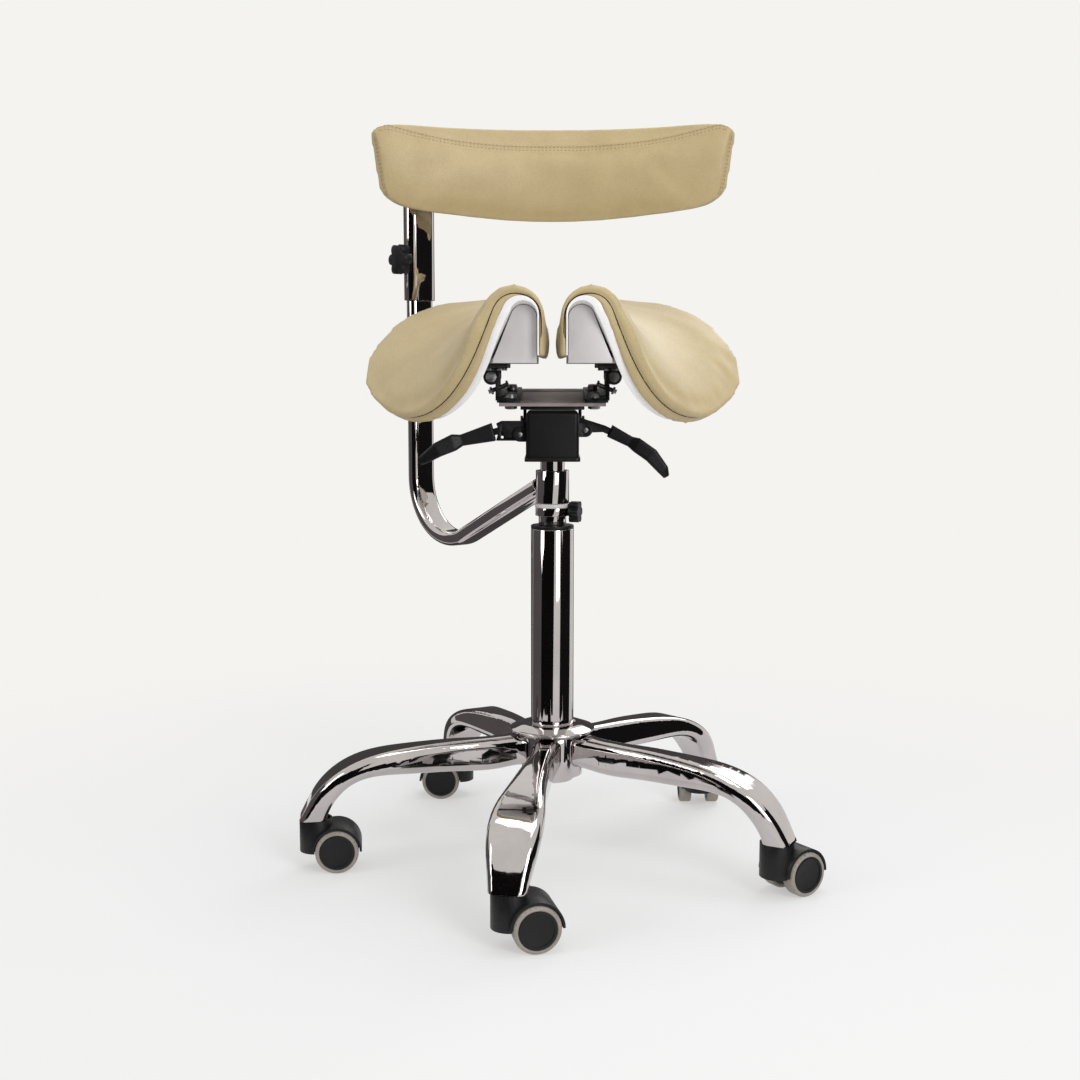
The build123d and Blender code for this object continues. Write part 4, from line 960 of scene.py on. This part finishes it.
def inflate(cushion):
    """Blow the cover up by a short cloth simulation. Only the swelling is kept, up to a cap, and
    evened out over the panels, because tight upholstery shows no wrinkles."""
    start = vertex_rows(cushion.data, "co")
    outward = calm_normals(cushion.data)
    cloth = cushion.modifiers.new("cloth", "CLOTH")
    cloth.settings.use_pressure = True
    cloth.settings.uniform_pressure_force = PRESSURE
    cloth.settings.effector_weights.gravity = 0.0
    cloth.settings.vertex_group_mass = "held"
    for number in range(1, CLOTH_FRAMES + 1):
        scene.frame_set(number)
    blown = vertex_rows(mesh_of(cushion), "co")
    cushion.modifiers.clear()
    swell = ((blown - start) * outward).sum(axis=1, keepdims=True).clip(0, SWELL_CAP)
    mean = neighbour_mean(cushion.data)
    for _ in range(EVEN_ROUNDS):
        swell = (swell + mean(swell)) / 2
    set_places(cushion.data, start + outward * swell)
    scene.frame_set(1)
    sizes = [round(float(size) * 1000, 2) for size in (swell.mean(), swell.max())]
    print(cushion.name, "swells by", sizes, "mm, mean and most")


def finer(cushion):
    """One subdivision, applied, so that seams can be pressed into the cover."""
    level = cushion.modifiers.new("finer", "SUBSURF")
    level.levels = level.render_levels = 1
    fine = mesh_of(cushion)
    cushion.modifiers.clear()
    cushion.data = fine
    fine.polygons.foreach_set("use_smooth", [True] * len(fine.polygons))


def upholster(node_name, label, body, neighbour, seam, front_edge=None, rim=None, stuffing=None):
    """One stuffed piece in place of its CAD solid."""
    cushion = even_copy(node_name, label)
    fair(cushion.data, FAIR_ROUNDS)
    if front_edge:
        round_over(cushion.data, front_edge, EDGE_WIDTH, EDGE_ROUNDS)
        even_rim(cushion.data, rim)
    held = hold(cushion, neighbour, seam)
    for vertex in cushion.data.vertices:
        if vertex.index not in held:
            vertex.co -= vertex.normal * INSET
    inflate(cushion)
    fair(cushion.data, FAIR_ROUNDS)
    if stuffing:
        stuff(cushion, held, stuffing)
    finer(cushion)
    fair(cushion.data, FINE_ROUNDS)
    if rim:
        even_rim(cushion.data, rim)
    cushion.data.materials.clear()
    cushion.data.materials.append(finishes["upholstery"])
    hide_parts(node_name)
    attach(cushion, body)
    print(label, len(cushion.data.vertices), "vertices,", len(held), "held")
    return cushion


print("stuffing: pressure", PRESSURE, "over", CLOTH_FRAMES, "frames")

# %% Saddle cushions and back pad
FRONT_STUFFING = 0.0018
BACK_STUFFING = 0.0090


def saddle_stuffing(place):
    """The saddle is stuffed fuller towards the back."""
    share = (place.y - SADDLE["front"]) / (SADDLE["back"] - SADDLE["front"])
    return FRONT_STUFFING + (BACK_STUFFING - FRONT_STUFFING) * min(max(share, 0), 1) ** 2


saddle = {}
saddle_lines = {}
for side, mirror in (("left", -1), ("right", 1)):
    saddle_lines[side] = joined_line(saddle_seam(mirror, SEAM_BELOW_TOP))
    front_edge, *rim = saddle_seam(mirror, 0.0)
    saddle[side] = upholster(f"seat_cushion_{side}", f"saddle_cushion_{side}", f"{side}_half",
                             f"seat_shell_{side}", saddle_lines[side], joined_line([front_edge]),
                             joined_line(rim), saddle_stuffing)
pad_points = [point for points in pad_lines.values() for point in even_line(points, SEAM_STEP)]
pad = upholster("back_pad", "backrest_pad", "backrest", "back_board", pad_points)

# %% [markdown]
# ## Sewing
# Each seam is laid on the stuffed cover and pressed in as a soft groove, now and not before,
# because the even mesh would swallow it. The saddle's groove holds a thin dark line, painted shade
# where the panels turn in. The backrest has a row of stitches on both sides of its seams.

# %% Lay and press
PLACE_REACH = 7
NORMAL_REACH = 9
ALONG_REACH = 4
GROOVE_SPAN = 3


def averaged(vectors, reach):
    """Each vector averaged with its neighbours, so that mesh facets do not show in a seam."""
    smooth = []
    for index in range(len(vectors)):
        near = vectors[max(0, index - reach):index + reach + 1]
        smooth.append(sum(near, Vector()) / len(near))
    return smooth


def lay_on(cushion, points):
    """Lay a line on the cover: places, outward normals and directions along the seam."""
    tree = surface_tree(cushion.data)
    hits = [tree.find_nearest(point) for point in points]
    places = averaged([hit[0] for hit in hits], PLACE_REACH)
    normals = [normal.normalized() for normal in averaged([hit[1] for hit in hits], NORMAL_REACH)]
    alongs = []
    for index in range(len(places)):
        before = places[max(0, index - ALONG_REACH)]
        after = places[min(len(places) - 1, index + ALONG_REACH)]
        alongs.append((after - before).normalized())
    return list(zip(places, normals, alongs))


def press_seam(cushion, laid, depth, width):
    """Press a soft groove into the cover, straight in at each place along the seam."""
    tree = point_tree([place for place, _, _ in laid])
    for vertex in cushion.data.vertices:
        _, index, distance = tree.find(vertex.co)
        if distance < GROOVE_SPAN * width:
            vertex.co -= laid[index][1] * (depth * math.exp(-(distance / width) ** 2))
    cushion.data.update()


print("seams are evened over", (2 * PLACE_REACH + 1) * SEAM_STEP, "m")

# %% Seam shade lines and stitches
RING_SIDES = 6
# The line sizes are for the thin dark tube of painted shade in the saddle's groove.
LINE_EVERY = 2
LINE_RADIUS = 0.0008
LINE_SINK = 0.0002
STITCH_EVERY = 4
STITCH_LENGTH = 0.0034
STITCH_RADIUS = 0.00042
# Along the half length, lifted by this many radii, and this many radii thick.
STITCH_RINGS = ((-1.0, -0.6, 0.5), (-0.6, 0.2, 0.9), (0.0, 0.5, 1.0), (0.6, 0.2, 0.9),
                (1.0, -0.6, 0.5))


def add_piece(label, shape, finish, body):
    """Turn a finished bmesh into a piece that rides with a body."""
    bmesh.ops.recalc_face_normals(shape, faces=shape.faces)
    mesh = bpy.data.meshes.new(label)
    shape.to_mesh(mesh)
    shape.free()
    mesh.polygons.foreach_set("use_smooth", [True] * len(mesh.polygons))
    mesh.materials.append(finishes[finish])
    piece = bpy.data.objects.new(label, mesh)
    scene.collection.objects.link(piece)
    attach(piece, body)
    return piece


def add_ring(shape, centre, across, normal, radius):
    """A ring of corners round one place on a thread or a line."""
    ring = []
    for corner in range(RING_SIDES):
        turn = 2 * math.pi * corner / RING_SIDES
        ring.append(shape.verts.new(centre + across * (math.cos(turn) * radius)
                                    + normal * (math.sin(turn) * radius)))
    return ring


def skin_rings(shape, rings):
    """Join rings of corners into a closed tube."""
    for low, high in zip(rings, rings[1:]):
        for corner in range(RING_SIDES):
            after = (corner + 1) % RING_SIDES
            shape.faces.new((low[corner], low[after], high[after], high[corner]))
    shape.faces.new(list(reversed(rings[0])))
    shape.faces.new(rings[-1])


def seam_shade_line(label, laid, body):
    """A thin dark tube in the groove, painted shade where the two panels turn in."""
    shape = bmesh.new()
    rings = []
    for place, normal, along in laid[::LINE_EVERY]:
        across = along.cross(normal).normalized()
        rings.append(add_ring(shape, place - normal * LINE_SINK, across, normal, LINE_RADIUS))
    skin_rings(shape, rings)
    line = add_piece(label, shape, "seam", body)


def add_stitch(shape, middle, along, normal):
    """One short loop of thread that dips into the cover at both ends."""
    across = along.cross(normal).normalized()
    rings = []
    for share, lift, size in STITCH_RINGS:
        centre = middle + along * (share * STITCH_LENGTH / 2) + normal * (lift * STITCH_RADIUS)
        rings.append(add_ring(shape, centre, across, normal, STITCH_RADIUS * size))
    skin_rings(shape, rings)


def sew(label, cushion, laid, body, offset):
    """A row of stitches beside a seam, laid on the cover, that rides with the cushion's body."""
    tree = surface_tree(cushion.data)
    shape = bmesh.new()
    for place, normal, along in laid[STITCH_EVERY:-STITCH_EVERY:STITCH_EVERY]:
        across = along.cross(normal).normalized()
        middle, facing, _, _ = tree.find_nearest(place + across * offset)
        add_stitch(shape, middle, along, (facing + normal).normalized())
    row = add_piece(label, shape, "thread", body)


print("a stitch every", STITCH_EVERY * SEAM_STEP, "m")

# %% Sew the saddle
GROOVE_DEPTH = 0.0026
GROOVE_WIDTH = 0.0026
for side in ("left", "right"):
    cushion = saddle[side]
    laid = lay_on(cushion, saddle_lines[side])
    press_seam(cushion, laid, GROOVE_DEPTH, GROOVE_WIDTH)
    pressed = lay_on(cushion, [place - normal * GROOVE_DEPTH for place, normal, _ in laid])
    # A thin dark tube in the groove is painted shade where the panels turn in.
    seam_shade_line(f"saddle_seam_{side}", pressed, f"{side}_half")
    print(f"saddle seam {side}:", round(len(laid) * SEAM_STEP, 3), "m")

# %% Sew the backrest
PAD_GROOVE_DEPTH = 0.0013
PAD_GROOVE_WIDTH = 0.0022
STITCH_ROWS = (("upper", -0.0021), ("lower", 0.0021))
for label, points in pad_lines.items():
    laid = lay_on(pad, even_line(points, SEAM_STEP))
    press_seam(pad, laid, PAD_GROOVE_DEPTH, PAD_GROOVE_WIDTH)
    for row, offset in STITCH_ROWS:
        sew(f"pad_stitches_{label}_{row}", pad, laid, "backrest", offset)
    print("pad seam", label, round(len(laid) * SEAM_STEP, 3), "m")

# %% [markdown]
# ## Finishes on the CAD pieces
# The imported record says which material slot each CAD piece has, so the finishes follow it.
# Real parts have no knife edges: a small bevel on each piece catches the light. The pieces'
# own meshes stay as they are, because the bevel is only a modifier.

# %% Dress the CAD pieces
slot_of = {row["node"]: row["material_slot"] for row in frame["record"]["subparts"]}
NODE_FINISH = {"bridge_plate": "grey_plate", "bearing_ring": "grey_plastic"}
SHARP_ANGLE = math.radians(32)
EDGE_SEGMENTS = 2
SOFT_EDGES = {"chrome": 0.0006, "steel": 0.0004, "black_metal": 0.0007, "black_plastic": 0.0008,
              "tyre": 0.0022, "white_plastic": 0.0012, "grey_plastic": 0.0012, "upholstery": 0.001}


def dress(name, node):
    """Give one CAD piece its finish, smooth shading and softened edges."""
    slot = slot_of[name]
    node.data.materials.clear()
    node.data.materials.append(finishes[NODE_FINISH.get(name, slot)])
    node.data.polygons.foreach_set("use_smooth", [True] * len(node.data.polygons))
    node.data.set_sharp_from_angle(angle=SHARP_ANGLE)
    weld = node.modifiers.new("weld", "WELD")
    weld.merge_threshold = WELD_DISTANCE
    edge = node.modifiers.new("soft_edge", "BEVEL")
    edge.width = SOFT_EDGES[slot]
    edge.segments = EDGE_SEGMENTS
    edge.limit_method = "ANGLE"
    edge.angle_limit = SHARP_ANGLE
    edge.harden_normals = True


for name, node in nodes.items():
    dress(name, node)
print("dressed", len(nodes), "CAD pieces")

# %% [markdown]
# ### Moulded grips
# The lever grips are moulded in one flowing form without edges, so a bevel does not suit them.
# Their skin is rebuilt from fine voxels and smoothed, again only by modifiers.

# %% Round the moulded grips
GRIP_VOXEL = 0.0011
GRIP_FAIRING = 1.2
GRIP_ROUNDS = 8


def round_grip(name):
    """A moulded grip is one flowing form: rebuild its skin evenly, then fair it."""
    node = nodes[name]
    node.modifiers.clear()
    skin = node.modifiers.new("even_skin", "REMESH")
    skin.mode = "VOXEL"
    skin.voxel_size = GRIP_VOXEL
    skin.use_smooth_shade = True
    fair_skin = node.modifiers.new("fair_skin", "LAPLACIANSMOOTH")
    fair_skin.lambda_factor = GRIP_FAIRING
    fair_skin.iterations = GRIP_ROUNDS
    fair_skin.use_volume_preserve = True


for name in ("height_grip", "tilt_grip"):
    round_grip(name)
print("rounded the two lever grips")
